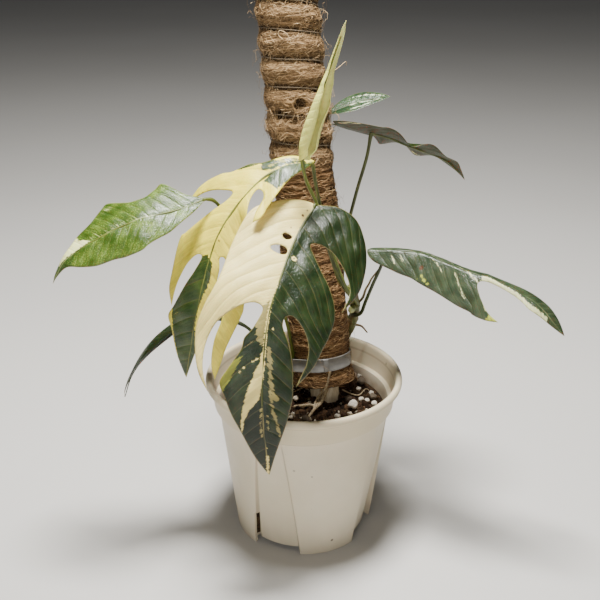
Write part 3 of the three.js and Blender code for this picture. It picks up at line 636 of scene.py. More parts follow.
# Faces of a box whose eight corners come as low and high, then inner and outer, then left and right
BOX_FACES = [(1, 3, 2, 0), (6, 7, 5, 4), (4, 5, 1, 0), (3, 7, 6, 2), (2, 6, 4, 0), (5, 7, 3, 1)]


def pot_cutters():
    """The four open slots beside the recesses and the drain holes, in one piece."""
    cutters = Form()
    half_turn = math.degrees(SLOT_WIDTH / 2 / POT_FOOT_RADIUS)
    for quarter in range(4):
        centre = RECESS_CENTRE + 90 * quarter
        low = centre - recess_half(0) - SLOT_SHIFT
        high = centre - recess_half(SLOT_HEIGHT) - SLOT_SHIFT
        corners = [
            around(azimuth + side * half_turn, radius, z)
            for z, azimuth in ((-3, low), (SLOT_HEIGHT, high))
            for radius in (POT_FOOT_RADIUS - SLOT_INWARD, POT_FOOT_RADIUS + SLOT_OUTWARD)
            for side in (-1, 1)
        ]
        cutters.add(corners, BOX_FACES)
    turns = full_turn(32)
    ring = np.stack([DRAIN_RADIUS * np.cos(turns), DRAIN_RADIUS * np.sin(turns), 0 * turns], axis=-1)
    turned = [DRAIN_TURN + 360 * i / DRAIN_COUNT for i in range(DRAIN_COUNT)]
    for spot in [np.zeros(3)] + [around(azimuth, DRAIN_CIRCLE, 0) for azimuth in turned]:
        cutters.add_stack([spot + ring + [0, 0, z] for z in (FLOOR_UNDERSIDE - 2, FLOOR_TOP + 2)])
    return cutters.piece("pot_cutters", [])


def make_pot(material):
    columns = pot_columns(13, 29)
    heights = [0, 12, 24, 36, 60, 90, 120, POT_BODY_TOP]
    rows = [pot_row(columns, z, 0) for z in heights]
    rows += [pot_rim_row(columns, radius, z) for radius, z in RIM_OUTSIDE + RIM_INSIDE]
    rows += [pot_row(columns, z, POT_WALL) for z in heights[-2::-1]]
    pot = Form().add_rings(rows, close=True).piece("nursery_pot", [material])
    soften = pot.modifiers.new("soften", "BEVEL")
    soften.width = EDGE_SOFTNESS * MM
    soften.segments = 3
    soften.limit_method = "ANGLE"
    soften.angle_limit = math.radians(26)
    apply_modifiers(pot)
    floor = Form().add_stack([pot_row(columns, z, 1) for z in (FLOOR_UNDERSIDE, FLOOR_TOP)])
    boolean(pot, "UNION", floor.piece("pot_floor", [material]))
    boolean(pot, "DIFFERENCE", pot_cutters())
    pot.data.set_sharp_from_angle(angle=math.radians(32))
    return pot


# Potting mix: a lumpy plug, with peat crumbs, bark, perlite and pale roots on it

def soil_relief(x, y):
    return SOIL_RELIEF * (np.sin(x / 9 + 1) * np.cos(y / 11) + 0.6 * np.sin((x - y) / 6))


def soil_rings(columns, shares):
    edge = pot_row(columns, SOIL_LEVEL - 1, POT_WALL + SOIL_CLEARANCE)
    rings = []
    for share in shares:
        ring = edge * [share, share, 1]
        rough = 0.9 * waves(ring[:, :2], 7, 3) + 0.6 * waves(ring[:, :2], 3.5, 4)
        ring[:, 2] += (1 + soil_relief(ring[:, 0], ring[:, 1]) + rough) * smooth(1 - share, 0, 0.06)
        rings.append(ring)
    return rings


def make_soil_body(material):
    columns = pot_columns(9, 21)
    inset = POT_WALL + SOIL_CLEARANCE
    rows = [pot_row(columns, FLOOR_TOP + 0.4, inset), pot_row(columns, 70, inset)]
    rows += soil_rings(columns, np.linspace(1, 0.02, 46))
    return Form().add_stack(rows).piece("peat", [material])


def soil_top():
    columns = pot_columns(5, 9)
    return Form().add_rings(soil_rings(columns, np.linspace(0.965, 0.03, 22))).piece("soil_top", [])


def crumb_shape():
    """Scatters uneven lumps over a surface."""
    shape = Shape("crumbs", {
        "Float": ("Density", "Smallest", "Largest", "Flatness", "Unevenness", "Sink"),
        "Int": ("Fineness", "Seed"), "Material": ("Material",)})
    seed = shape.given("Seed")
    sunk = shape.moved(shape.scattered(), Offset=shape.parts(Z=-shape.given("Sink")))
    ball = shape.node("GeometryNodeMeshIcoSphere", values={
        "Radius": 1.0, "Subdivisions": shape.given("Fineness")})
    turn = shape.node("FunctionNodeRandomValue", {"data_type": "FLOAT_VECTOR"},
                      {0: (0, 0, 0), 1: (6.28, 6.28, 6.28), 8: seed})
    size = shape.random(shape.given("Smallest"), shape.given("Largest"), seed)
    scale = shape.parts(X=size * shape.random(0.9, 1.5, seed + 1), Y=size, Z=size * shape.given("Flatness"))
    whole = shape.copies(sunk, ball, turn, scale)
    rough = shape.stretch(shape.centred_noise(420.0), shape.given("Unevenness"))
    shape.ending(shape.moved(whole, Offset=rough))
    return shape


# Roots on the potting mix: radius at the start and at the end, and path
SURFACE_ROOTS = [
    (1.1, 0.7, [(26.8, -11.3, 180), (24.6, -13.6, 172), (21.8, -14, 163), (17, -8, 153), (13, -6, 145),
                (10, -14, 138)]),
    (1.7, 0.9, [(19, 8, 150), (15.5, -1, 142.5), (11.2, -13, 140), (6, -22, 134)]),
    (2.1, 1.1, [(24, 6, 152), (19, -6, 144), (13, -14, 141.5), (8, -20, 138), (2, -27, 131)]),
    (2.0, 1.3, [(-9, -6, 136), (-1.5, -11, 140.5), (6, -10, 141), (13, -8, 139)]),
    (0.8, 0.4, [(40, 14, 146), (56, 10, 141), (66, 24, 141), (74, 20, 134)]),
    (0.7, 0.4, [(4, 18, 148), (-14, 12, 142), (-30, -14, 141), (-44, -12, 134)]),
]

# Lumps that stand out: place, radius and paleness
LUMPS = [
    (50.3, -9, 141.5, 5.0, 1), (34, -28, 139, 2.9, 1), (46.7, -23.2, 138.6, 2.4, 0.7),
    (70.7, 17.4, 140, 2.5, 0.9), (58.2, 27.1, 139.6, 2.4, 0.9), (60, 54, 140, 2.5, 1),
    (54, 57, 140, 3, 0.9), (46, 66, 140, 2, 1), (59.6, 4.4, 139.8, 2.9, 0.9), (65.5, 2.5, 139.6, 2.4, 1),
    (72.5, -3.3, 139.6, 2.9, 1), (-10.3, -23.2, 139, 1.4, 1), (-13.2, -31.3, 139, 2.4, 0.9),
    (-8.3, 6, 140, 2.9, 0.8), (-46, 20, 140, 3.4, 1), (-20, 52, 140, 3.8, 1), (24, -42, 139, 3.6, 0.1),
    (57, -34, 139, 3.2, 0.1), (72, 10, 140, 3.6, 0.2), (46, 6, 140, 3.8, 0.1), (2, -34, 139, 4.2, 0.15),
    (-28, -10, 140, 4.4, 0.1), (62, 44, 140, 4.6, 0.2), (62, 48, 140, 3.4, 0.1),
]


def make_lumps(material):
    """Uneven stones and chips, each a wavy ball."""
    turns = full_turn(22)
    lumps = Form()
    for i, (x, y, z, radius, tone) in enumerate(LUMPS):
        rows = []
        for tilt in np.linspace(-1.45, 1.45, 13):
            ring = np.stack([np.cos(tilt) * np.cos(turns), np.cos(tilt) * np.sin(turns),
                             np.full(len(turns), 0.8 * math.sin(tilt))], axis=-1)
            uneven = 1 + 0.13 * waves(ring, 1.1, 80 + i) + 0.05 * waves(ring, 0.4, i)
            rows.append(ring * radius * uneven[:, None] + [x, y, z])
        lumps.add_stack(rows, tone=tone)
    return lumps.piece("stones", [material])


def make_surface_roots(material):
    roots = Form()
    for i, (thick, thin, path) in enumerate(SURFACE_ROOTS):
        tube(roots, path, tapered(thick, thin), 12, 1.2, wander=0.35, seed=i, squash=0.85)
    return roots.piece("surface_roots", [material])


# Pole: a stake in a coir sleeve, bound into a helix of bulges above and smoother below

POLE_UP = unit(POLE_LEAN)
POLE_SIDE = unit(np.array([1.0, 0, 0]) - POLE_UP * POLE_UP[0])
POLE_BACK = np.cross(POLE_UP, POLE_SIDE)


def pole_point(height, angle, radius):
    """Angles run from the pole's +X side towards its back."""
    height, angle, radius = np.broadcast_arrays(height, angle, radius)
    sideways, backwards = (radius * np.cos(angle))[..., None], (radius * np.sin(angle))[..., None]
    return POLE_FOOT + height[..., None] * POLE_LEAN + sideways * POLE_SIDE + backwards * POLE_BACK


def wrapped_waves(height, angle, length, turns, seed):
    """An uneven number round the pole that meets itself. Waves run mostly round it, length apart."""
    draw = np.random.default_rng(seed)
    total = 0.0
    for _ in range(ROUND_WAVES):
        whole_turns = draw.integers(-turns, turns + 1)
        wave = length * draw.uniform(0.7, 1.6)
        climb = height * 2 * math.pi / wave
        total = total + np.sin(whole_turns * angle + climb + draw.uniform(0, 2 * math.pi))
    return total / math.sqrt(ROUND_WAVES)


def coir_rise(height, angle):
    """0 in the grooves of the binding and 1 on the crowns of the bulges."""
    turn = (height - BULGE_START) / BULGE_PITCH + angle / (2 * math.pi) - 0.5
    across = turn - np.floor(turn)
    away = np.minimum(across, 1 - across) * BULGE_PITCH
    return np.sqrt(np.clip((away - GROOVE_HALF) / (BULGE_PITCH / 2 - GROOVE_HALF), 0, 1))


# Hollows in the coir: height, angle in degrees, half height, half width and depth
HOLLOWS = [(288, 229, 5.5, 8, 7), (295, 277, 6.5, 7, 7), (279, 262, 3, 5, 4), (284, 300, 4, 5, 4),
           (221, 349, 9, 2.2, 6), (210, 342, 10, 2.4, 7), (197, 334, 9, 2, 6), (262, 318, 3, 4, 4)]


def hollow_depth(height, angle):
    depth = 0.0 * (height + angle)
    for high, degrees, half_height, half_width, most in HOLLOWS:
        turn = np.mod(angle - math.radians(degrees) + math.pi, 2 * math.pi) - math.pi
        away = np.hypot((height - high) / half_height, turn * COIR_LOW_RADIUS / half_width)
        depth = np.maximum(depth, most * (1 - smooth(away, 0.35, 1.25)))
    return depth


def coir_radius(height, angle):
    bulge = lerp(GROOVE_RADIUS, BULGE_RADIUS, coir_rise(height, angle))
    lumps = 1.1 * np.sin(3 * angle + height / 23) + 0.9 * np.sin(2 * angle - height / 31)
    cinch = 1.9 * np.exp(-(((height - STRAP_MIDDLE) / 13) ** 2))
    flare = 3.4 * np.clip((30 - height) / 14, 0, 1)
    low = COIR_LOW_RADIUS + lumps * smooth(height, 60, 90) - cinch + flare
    return lerp(low, bulge, smooth(height, BULGE_START - 6, BULGE_START + 6)) - hollow_depth(height, angle)


def coir_sheet(low, high, step=1.6, columns=112, fluff=1.0):
    """Rows of points on the coir from one height to another, with their heights and angles."""
    heights = np.linspace(low, high, int((high - low) / step) + 1)[:, None]
    angles = full_turn(columns)[None, :]
    wisps = (0.45 * wrapped_waves(heights, angles, 5, 3, 11)
             + 0.35 * wrapped_waves(heights, angles, 11, 4, 12)
             + 0.3 * wrapped_waves(heights, angles, 3.2, 7, 13))
    off_strap = smooth(np.abs(heights - STRAP_MIDDLE), 6, 11)
    radius = coir_radius(heights, angles) - 0.5 + fluff * wisps * off_strap
    return pole_point(heights, angles, radius), heights + 0 * angles, angles + 0 * heights


def make_coir(material):
    """The sleeve. Its crown is 1 on the bulges, and its wrap is the place round an upright pole."""
    points, heights, angles = coir_sheet(COIR_BOTTOM, COIR_TOP)
    ends = pole_point(np.array([COIR_BOTTOM + 1, COIR_TOP - 1]), np.zeros(2), np.zeros(2))
    # crown sets the painted shade: it falls in the grooves and the hollows, where the finish darkens the
    # coir.
    crown = np.where(heights > BULGE_START, coir_rise(heights, angles), 0.6)
    crown = crown * (1 - smooth(hollow_depth(heights, angles), 0.5, 4))
    wrap = np.stack([np.cos(angles) * COIR_LOW_RADIUS, np.sin(angles) * COIR_LOW_RADIUS, heights], -1)
    form = Form()
    form.add(np.concatenate([points.reshape(-1, 3), ends]), stack_faces(*heights.shape),
             crown=np.append(crown.ravel(), [0.5, 0.5]),
             wrap=np.concatenate([wrap.reshape(-1, 3), [[0, 0, COIR_BOTTOM], [0, 0, COIR_TOP]]]))
    return form.piece("coir_sleeve", [material])


def coir_patch(low, high):
    points, _, _ = coir_sheet(low, high, 3.0, 48, 0.6)
    return Form().add_rings(points).piece("coir_patch", [])


def fibre_shape():
    """Lays fibres over the coir, bent to its surface, with ends that may stray off it."""
    shape = Shape("fibres", {
        "Float": ("Density", "Length", "Thickness", "Wander", "Lift", "Stray", "Slant"),
        "Int": ("Seed", "Knots"), "Material": ("Material",)})
    up, seed, slant = tuple(POLE_UP), shape.given("Seed"), shape.given("Slant")
    points = shape.scattered()
    outward = points.other("Normal")
    round_pole = shape.vector_math("CROSS_PRODUCT", up, outward)
    facing = shape.node("FunctionNodeAlignRotationToVector", {"axis": "X"}, {"Vector": round_pole})
    facing = shape.node("FunctionNodeAlignRotationToVector", {"axis": "Z", "pivot_axis": "X"},
                        {"Rotation": facing, "Vector": outward})
    turn = shape.node("FunctionNodeAxisAngleToRotation", values={
        "Axis": (0, 0, 1), "Angle": shape.random(-slant, slant, seed)})
    facing = shape.node("FunctionNodeRotateRotation", {"rotation_space": "LOCAL"},
                        {"Rotation": facing, "Rotate By": turn})
    line = shape.node("GeometryNodeCurvePrimitiveLine", values={
        "Start": (0, 0, 0), "End": shape.parts(X=shape.given("Length"))})
    line = shape.node("GeometryNodeResampleCurve", values={"Curve": line, "Count": shape.given("Knots")})
    spread = shape.parts(X=shape.random(0.45, 1.25, seed + 1), Y=1.0, Z=1.0)
    loose = shape.copies(points, line, facing, spread)
    bent = shape.moved(loose, Offset=shape.stretch(shape.centred_noise(130.0), shape.given("Wander")))
    place = shape.node("GeometryNodeInputPosition")
    from_foot = shape.vector_math("SUBTRACT", place, tuple(POLE_FOOT * MM))
    climb = shape.vector_math("DOT_PRODUCT", from_foot, up, output="Value")
    off_axis = shape.vector_math("SUBTRACT", from_foot, shape.stretch(up, climb))
    outwards = shape.vector_math("NORMALIZE", off_axis)
    nearest = shape.node("GeometryNodeProximity", {"target_element": "FACES"}, {0: shape.given("Geometry")})
    share = shape.node("GeometryNodeSplineParameter")
    height = shape.node("ShaderNodeTexNoise", values={"Scale": 210.0, "Detail": 1.0})
    lift = (height - 0.32) * shape.given("Lift") * 2.0 + share * share * shape.given("Stray")
    laid = shape.moved(bent, Position=shape.vector_math("ADD", nearest, shape.stretch(outwards, lift)))
    ring = shape.node("GeometryNodeCurvePrimitiveCircle", values={
        "Resolution": 3, "Radius": shape.given("Thickness")})
    shape.ending(shape.node("GeometryNodeCurveToMesh", values={
        "Curve": laid, "Profile Curve": ring, "Fill Caps": True}))
    return shape


def make_core(material):
    """The square-cut round stake. Each level is a height and a change of radius."""
    turns = full_turn(64)
    levels = [(-CORE_BELOW, -0.6), (-CORE_BELOW + 0.6, 0)]
    levels += [(h, 0) for h in np.linspace(-CORE_BELOW + 5, CORE_TOP - 5, 60)]
    levels += [(CORE_TOP - 0.8, 0), (CORE_TOP, -0.8)]
    rows = [pole_point(h, turns, CORE_RADIUS + change) for h, change in levels]
    return Form().add_stack(rows).piece("pole_stake", [material])


def make_twine(material):
    turns = math.floor((COIR_TOP - 10 - BULGE_START) / BULGE_PITCH)
    sweep = np.linspace(math.pi, turns * 2 * math.pi, 400)
    heights = BULGE_START + BULGE_PITCH * sweep / (2 * math.pi)
    seat = TWINE_SEAT + 0.25 * np.sin(sweep * 5.1)
    form = Form()
    tube(form, pole_point(heights + 0.5 * np.sin(sweep * 2.3), math.pi - sweep, seat),
         tapered(TWINE_RADIUS, TWINE_RADIUS), 8, 2.0)
    return form.piece("binding_twine", [material])


def make_strap(material):
    """A thin band with raised edges and a bulge over the petiole, closed by a lock."""
    angles = np.linspace(0, 360, 150, endpoint=False)
    away = np.abs((angles - STRAP_BULGE_ANGLE + 540) % 360 - 180)
    inside = STRAP_INSIDE + STRAP_BULGE * np.exp(-((away / 20) ** 2))
    t, low, high, edge = STRAP_THICKNESS, STRAP_BOTTOM, STRAP_TOP, STRAP_EDGE
    sunk = t - STRAP_SINK
    section = [(0, low + edge), (edge, low), (t - edge, low), (t, low + edge), (t, low + 1.6),
               (sunk, low + 2.0), (sunk, high - 2.0), (t, high - 1.6), (t, high - edge), (t - edge, high),
               (edge, high), (0, high - edge)]
    form = Form()
    form.add_rings([pole_point(h, np.radians(angles), inside + out) for out, h in section], close=True)
    lock = math.radians(STRAP_LOCK_ANGLE)
    turns = lock + 2.6 / STRAP_INSIDE * np.array([-1.0, -0.8, 0.8, 1.0])
    blocks = []
    for out, h in ((0.6, low + 0.3), (2.1, low + 0.9), (2.1, high - 0.9), (0.6, high - 0.3)):
        front = pole_point(h, turns, STRAP_INSIDE + out + np.array([-0.5, 0, 0, -0.5]))
        blocks.append(np.vstack([front, pole_point(h, lock, STRAP_INSIDE + 0.2)[None]]))
    form.add_stack(blocks)
    return form.piece("tie_strap", [material], 40)


# Stem: a short vine with rings, aerial roots, soil roots and a new shoot

STEM_PATH = [(28, 64, 112), (30, 66, 145), (36, 67, 170), (49, 59, 196), (53, 45, 222), (51, 32, 243),
             (47, 26, 256)]
AERIAL_ROOTS = [
    [(52, 40, 228), (60, 30, 244), (66, 18, 268), (76, 12, 284)],
    [(50, 30, 246), (52, 18, 258), (48, 16, 270), (46, 22, 278)],
    [(48, 56, 200), (62, 62, 196), (68, 66, 186)],
]
SOIL_ROOTS = [
    [(38, 66, 172), (48, 72, 168), (50, 68, 156), (46, 60, 118)],
    [(32, 66, 150), (20, 72, 146), (14, 69, 118)],
    [(30, 66, 143), (34, 73, 140), (33, 66, 118)],
]
SHOOT = [(51, 36, 230), (48, 24, 232), (46, 14, 240)]


def stem_radius(share):
    """Thinner towards the top, with a ring at each joint and a hollow just over it."""
    turn = share * STEM_RINGS * 2 * math.pi
    ring = np.maximum(0, np.cos(turn))
    return STEM_RADIUS - 1.2 * share + 0.8 * ring**10 - 0.25 * np.maximum(0, np.cos(turn - 0.5)) ** 8


def make_stem(skin, root):
    """The vine. Its kind is 1 on the shoot and on the two fresh roots."""
    form = Form()
    tube(form, STEM_PATH, stem_radius, 20, 1.0, wander=0.15)
    tube(form, SHOOT, lambda share: 3.6 * np.sqrt(np.maximum(1 - share**1.6, 0.03)), 14, 0.7, kind=1.0)
    for i, path in enumerate(AERIAL_ROOTS + SOIL_ROOTS):
        tube(form, path, tapered(1.6, 0.8), 8, 1.2, slot=1, wander=0.6, seed=40 + i, kind=float(i < 2))
    return form.piece("vine", [skin, root])


# Leaves. A leaf is drawn flat, with x along its midrib and y across it, then laid over a curved spine.
# face gives the upper side's direction at shares of the spine. plus and minus give each half's fold and
# curl there, in degrees and degrees per 100 mm, and sweep slants those shares back towards the leaf's
# sides. ripple is the height, count and phase of its waves. The outline's runs meet at the lobe tips, and
# holes are ellipses. rib is the midrib's line on the flat leaf, and veins is the space between side veins.
# marks are areas, lines and spots of a colour on the flat leaf.

LEAVES = {
    "leaf_front_half_moon": {
        "spine": [(11, -12, 357), (-1, -46, 335), (-13, -82, 306), (-25, -108, 274), (-33, -124, 228),
            (-34, -130, 185), (-32, -128, 135)],
        "face": [(0, 0.1, -0.7, 0.7), (0.5, 0.05, -0.9, 0.4), (1, 0.05, -1, 0.1)],
        "sweep": 0.45,
        "plus": [(0, 16, 30), (0.12, 10, 38), (0.3, 10, 40), (0.6, 5, 30), (1, 0, 20)],
        "minus": [(0, 0, 55), (0.4, 0, 55), (1, -5, 30)],
        "ripple": (1.5, 4, 0),
        "outline": [
            [(0, 0), (-3, -9), (-7, -22), (-4, -41), (11, -57), (26, -65), (43, -69), (62, -69), (79, -64),
                (96, -55)],
            [(96, -55), (77, -58), (66, -55), (55, -46), (44, -31), (41, -17), (45, -8), (56, -15),
                (68, -25), (81, -37), (102, -50), (127, -50), (144, -46), (159, -42), (172, -35),
                (184, -26)],
            [(184, -26), (168, -31), (159, -33), (143, -32), (128, -25), (118, -14), (119, -6), (128, -5),
                (144, -14), (165, -21), (193, -24), (211, -21), (226, -17), (257, -6), (276, 0)],
            [(276, 0), (256, 11), (229, 22), (210, 31), (195, 37), (184, 42), (172, 36), (155, 27),
                (145, 26), (135, 20), (120, 16), (116, 22), (119, 32), (129, 45), (140, 54), (158, 59),
                (176, 58), (192, 52)],
            [(192, 52), (178, 62), (160, 68), (142, 70), (127, 67), (116, 64), (101, 62), (68, 61), (43, 57),
                (31, 52), (21, 42), (10, 28), (2, 12), (0, 0)],
        ],
        "holes": [(60, 18, 4.5, 8), (45, 15, 3, 4.5)],
        "petiole": [(17, -9, 338), (28, -7, 297), (40, -3, 268), (51, 8, 250), (55, 20, 239), (52, 36, 236)],
        "rib": [(0, 0), (30, 6), (62, 8), (90, 10), (110, 11), (135, 8), (157, 6), (190, 4), (276, 0)],
        "veins": 15,
        "marks": {
            "cream": [("area", [(-20, -1), (0, 0), (30, 6), (62, 8), (90, 10), (108, 11), (116, 17),
                (118, 28), (128, 42), (150, 52), (200, 50), (210, 90), (-20, 90)]), ("line", 2.4, [(108, 11),
                (122, 10), (135, 8.4), (157, 6)]), ("area", [(150, 7), (157, 9), (165, 9), (172, 12),
                (184, 15), (192, 18), (206, 21), (219, 23), (229, 22), (218, 20), (212, 18), (206, 15),
                (203, 11), (195, 6), (180, 4), (165, 4)]), ("line", 2.2, [(254, 0.5), (274, 1)]),
                ("spot", 163, 15, 1.2), ("spot", 161, 12, 1.3), ("spot", 170, 22, 1.1), ("spot", 174, 25, 1),
                ("spot", 133, 3, 0.8), ("spot", 245, 0, 0.7), ("spot", 124, 17, 1.4), ("spot", 64, 3, 2.1)],
            "yellow": [("area", [(160, 24), (176, 50), (197, 46), (194, 40), (186, 36), (176, 31)])],
            "pale": [("area", [(112, 12), (135, 9), (150, 8), (146, 14), (130, 20), (118, 19)]),
                ("line", 3.4, [(150, 3), (168, -1), (181, -3), (193, -7), (196, -10)]), ("line", 2.6,
                [(186, -3), (200, -5), (211, -7), (221, -10), (234, -12)]), ("line", 1.2, [(206, 4),
                (220, 5), (233, 4)]), ("line", 1.0, [(212, -1), (226, -2)])],
            "dark": [("area", [(196, 2), (212, 20), (240, 20), (285, 4), (285, -4), (250, -12), (228, -4),
                (206, -2)])],
            "marble": [("area", [(116, 6), (118, 20), (140, 24), (160, 26), (164, 18), (140, 10)])],
            "brown": [("spot", 35, 14, 1.0), ("spot", 18, 8, 1.4), ("spot", 11, 6, 1.0),
                ("spot", 64, 3, 1.0)],
        },
    },
    "leaf_yellow_cut": {
        "spine": [(8, 0, 393), (-13, -8, 395), (-37, -16, 385), (-58, -26, 366), (-75, -34, 344),
            (-86, -42, 319), (-94, -48, 291), (-104, -53, 247), (-113, -52, 198)],
        "face": [(0, -0.1, -0.6, 0.8), (0.5, -0.4, -0.8, 0.5), (1, -0.4, -0.9, 0.1)],
        "sweep": 0.5,
        "plus": [(0, 0, 30), (0.5, -5, 45), (1, -10, 20)],
        "minus": [(0, 0, 30), (0.2, 10, 20), (0.28, 16, 15), (0.37, -18, 30), (0.6, -14, 40), (1, -10, 20)],
        "ripple": (1.5, 5, 1),
        "outline": [
            [(0, 0), (-2, 4), (11, 8), (22, 10), (42, 14), (52, 22), (65, 29), (73, 38), (92, 50), (103, 54),
                (119, 60)],
            [(119, 60), (109, 52), (100, 46), (91, 36), (84, 25), (79, 13), (90, 13), (110, 24), (128, 39),
                (135, 45), (156, 46), (171, 44), (187, 41), (201, 33)],
            [(201, 33), (190, 33), (174, 31), (155, 25), (143, 16), (143, 9), (157, 13), (175, 21),
                (199, 30), (212, 35), (223, 27), (237, 20), (248, 14), (265, 0)],
            [(265, 0), (242, -4), (221, -8), (201, -11), (183, -12), (151, -12), (138, -9), (137, -14),
                (148, -21), (164, -24), (183, -25), (198, -24), (219, -21), (243, -22), (259, -28)],
            [(259, -28), (240, -31), (226, -33), (208, -37), (189, -41), (178, -42), (144, -38), (112, -30),
                (90, -18), (74, -8), (63, -6), (61, -12), (66, -18), (78, -22), (89, -28)],
            [(89, -28), (81, -31), (71, -28), (59, -26), (47, -23), (30, -16), (13, -9), (0, 0)],
        ],
        "holes": [],
        "petiole": [(11, 6, 371), (16, 11, 345), (23, 12, 308), (34, 15, 272), (41, 22, 259), (47, 26, 254)],
        "rib": [(0, 0), (265, 0)],
        "veins": 17,
        "marks": {
            "yellow": [("area", [(-40, -80), (300, -80), (300, 80), (-40, 80)])],
            "green": [("area", [(-8, 2), (13, 0.5), (27, 0.5), (42, -0.5), (53, -4), (50, -12), (48, -20),
                (42, -19), (29, -16), (9, -12), (-8, -8)]), ("area", [(5, 0.8), (10, 4), (18, 6), (27, 8),
                (36, 10), (45, 14), (47, 8), (40, 2), (26, 0.8)]), ("area", [(33, 9), (40, 11), (50, 17),
                (60, 24), (64, 31), (52, 25), (42, 17), (34, 14)]), ("area", [(139, 4), (146, 12), (160, 19),
                (178, 27), (195, 30), (207, 31), (222, 25), (250, 13), (270, 2), (266, -5), (240, -5),
                (228, -6), (212, -1), (191, 0), (175, -3), (162, -6), (145, -4)])],
            "pale": [("line", 2, [(14, 3), (28, 6), (40, 7)])],
            "marble": [("area", [(139, 8), (160, 20), (215, 32), (220, 20), (180, 18), (150, 8)])],
            "brown": [("line", 1.3, [(179, -10), (186, -9), (196, -7)]), ("spot", 123, -3, 1.1),
                ("spot", 109, -2, 0.8), ("spot", 98, -14, 0.5), ("spot", 205, -31, 0.6)],
        },
    },
    "leaf_left_speckled": {
        "spine": [(-90, -20, 366), (-110, -29, 360), (-136, -36, 355), (-153, -39, 352), (-173, -41, 343),
            (-189, -42, 335), (-205, -42, 325), (-220, -42, 314), (-230, -40, 299), (-238, -37, 284)],
        "face": [(0, -0.1, -0.6, 0.8), (0.5, -0.3, -0.55, 0.8), (1, -0.6, -0.4, 0.6)],
        "sweep": 0.35,
        "plus": [(0, 10, 40), (0.5, 5, 50), (1, 0, 20)],
        "minus": [(0, 0, 40), (0.5, -5, 50), (1, 0, 20)],
        "ripple": (2.5, 3, 0),
        "outline": [
            [(0, 0), (15, 12), (25, 23), (36, 33), (44, 29), (57, 23), (68, 22), (76, 26), (91, 35),
                (99, 31), (112, 22), (128, 16), (138, 10), (151, 6), (166, 4), (176, 0)],
            [(176, 0), (161, -4), (147, -9), (132, -19), (117, -26), (99, -28), (86, -31), (69, -32),
                (53, -25), (41, -21), (29, -14), (12, -6), (0, 0)],
        ],
        "holes": [],
        "petiole": [(-80, -14, 358), (-56, -7, 320), (-32, -2, 274), (-20, 5, 238), (-13.5, 13, 205),
            (-11.1, 18.2, 177), (-12.8, 14, 160), (-14.6, 11, 146), (-15.5, 9, 116)],
        "rib": [(0, 0), (176, 0)],
        "veins": 10,
        "marks": {
            "cream": [("area", [(116, 1.5), (126, 1), (134, 1), (147, 1.5), (157, 2.5), (153, 9), (138, 14),
                (131, 18), (126, 9), (119, 5)])],
            "marble": [("line", 5, [(120, 2), (95, 2), (70, 1)]), ("line", 5, [(84, 30), (100, 24)])],
            "dark": [("area", [(132, 0), (140, -12), (180, -6), (180, 4), (150, 1)]), ("area", [(-6, -8),
                (20, -8), (16, 10), (-6, 8)])],
        },
    },
    "leaf_right_cleft": {
        "spine": [(76, 0, 307), (92, -5, 308), (111, -12, 308), (128, -20, 304), (154, -32, 297),
            (172, -41, 295), (201, -53, 284), (217, -60, 274), (233, -65, 257)],
        "face": [(0, 0.1, -0.5, 0.85), (0.5, 0.2, -0.5, 0.85), (1, 0.4, -0.5, 0.7)],
        "sweep": 0.45,
        "plus": [(0, -25, 50), (0.5, -25, 50), (1, -10, 20)],
        "minus": [(0, -40, 30), (0.5, -35, 30), (1, -10, 20)],
        "ripple": (1.5, 4, 0),
        "outline": [
            [(-15, -3), (-12, -14), (0, -24), (20, -30), (50, -30), (80, -26), (105, -21), (130, -17),
                (155, -15), (171, -15), (184, -10), (196, 0)],
            [(196, 0), (186, 3), (172, 6), (154, 9), (144, 7), (133, 5), (120, 4), (106, 4), (98, 7),
                (100, 14), (112, 25), (121, 31), (133, 34)],
            [(133, 34), (121, 38), (107, 38), (85, 33), (68, 30), (53, 28), (32, 25), (18, 22), (2, 16),
                (-9, 11), (-15, 4), (-15, -3)],
        ],
        "holes": [],
        "petiole": [(75, 2, 290), (68, 6, 269), (62, 14, 247), (58, 26, 228), (51, 44, 217)],
        "rib": [(-15, -3), (0, -3), (40, -7), (90, -5), (130, -3), (196, 0)],
        "veins": 12,
        "marks": {
            "cream": [("line", 2.4, [(-4, -21), (12, -28), (24, -30)]), ("line", 1.6, [(34, -26),
                (58, -28)]), ("line", 2.8, [(62, -28), (78, -26), (92, -24)]), ("line", 1.8, [(72, -11),
                (84, -2), (97, 7)]), ("line", 0.9, [(75, 5), (82, 14), (90, 24)]), ("line", 0.8, [(47, 0),
                (56, 4), (63, 9)]), ("line", 1.0, [(9, 5), (13, 13)]), ("line", 1.0, [(17, 3), (21, 10)]),
                ("line", 0.7, [(30, -18), (40, -10), (52, -8)]), ("line", 0.6, [(60, -20), (72, -14)]),
                ("line", 1.4, [(98, 7), (108, 18), (117, 30)]), ("area", [(100, -1), (118, 0), (134, 1),
                (150, 4), (172, 2), (174, 7), (154, 11), (140, 8), (118, 5), (100, 5)])],
            "yellow": [("spot", 130, 36, 9), ("spot", 47, 20, 1.0), ("spot", 51, 23, 1.3),
                ("spot", 55, 25, 1.0), ("spot", 44, 24, 0.8)],
            "brown": [("spot", 43, 13, 2.3)],
            "marble": [("area", [(30, -30), (100, -26), (100, -16), (30, -20)])],
        },
    },
    "leaf_back_wavy": {
        "spine": [(66, 62, 406), (82, 62, 402), (100, 64, 394), (120, 66, 386), (138, 70, 378),
            (152, 74, 367), (164, 78, 353)],
        "face": [(0, 0.15, 0.3, 0.93), (0.6, 0.3, 0.3, 0.9), (1, 0.5, 0.25, 0.8)],
        "sweep": 0.2,
        "plus": [(0, 5, 20), (1, 10, 20)],
        "minus": [(0, 0, 20), (1, 0, 20)],
        "ripple": (17, 2.6, 1),
        "outline": [
            [(-37, 2), (-40, 13), (-26, 25), (0, 31), (25, 33), (48, 30), (68, 24), (84, 17), (98, 8),
                (115, 0)],
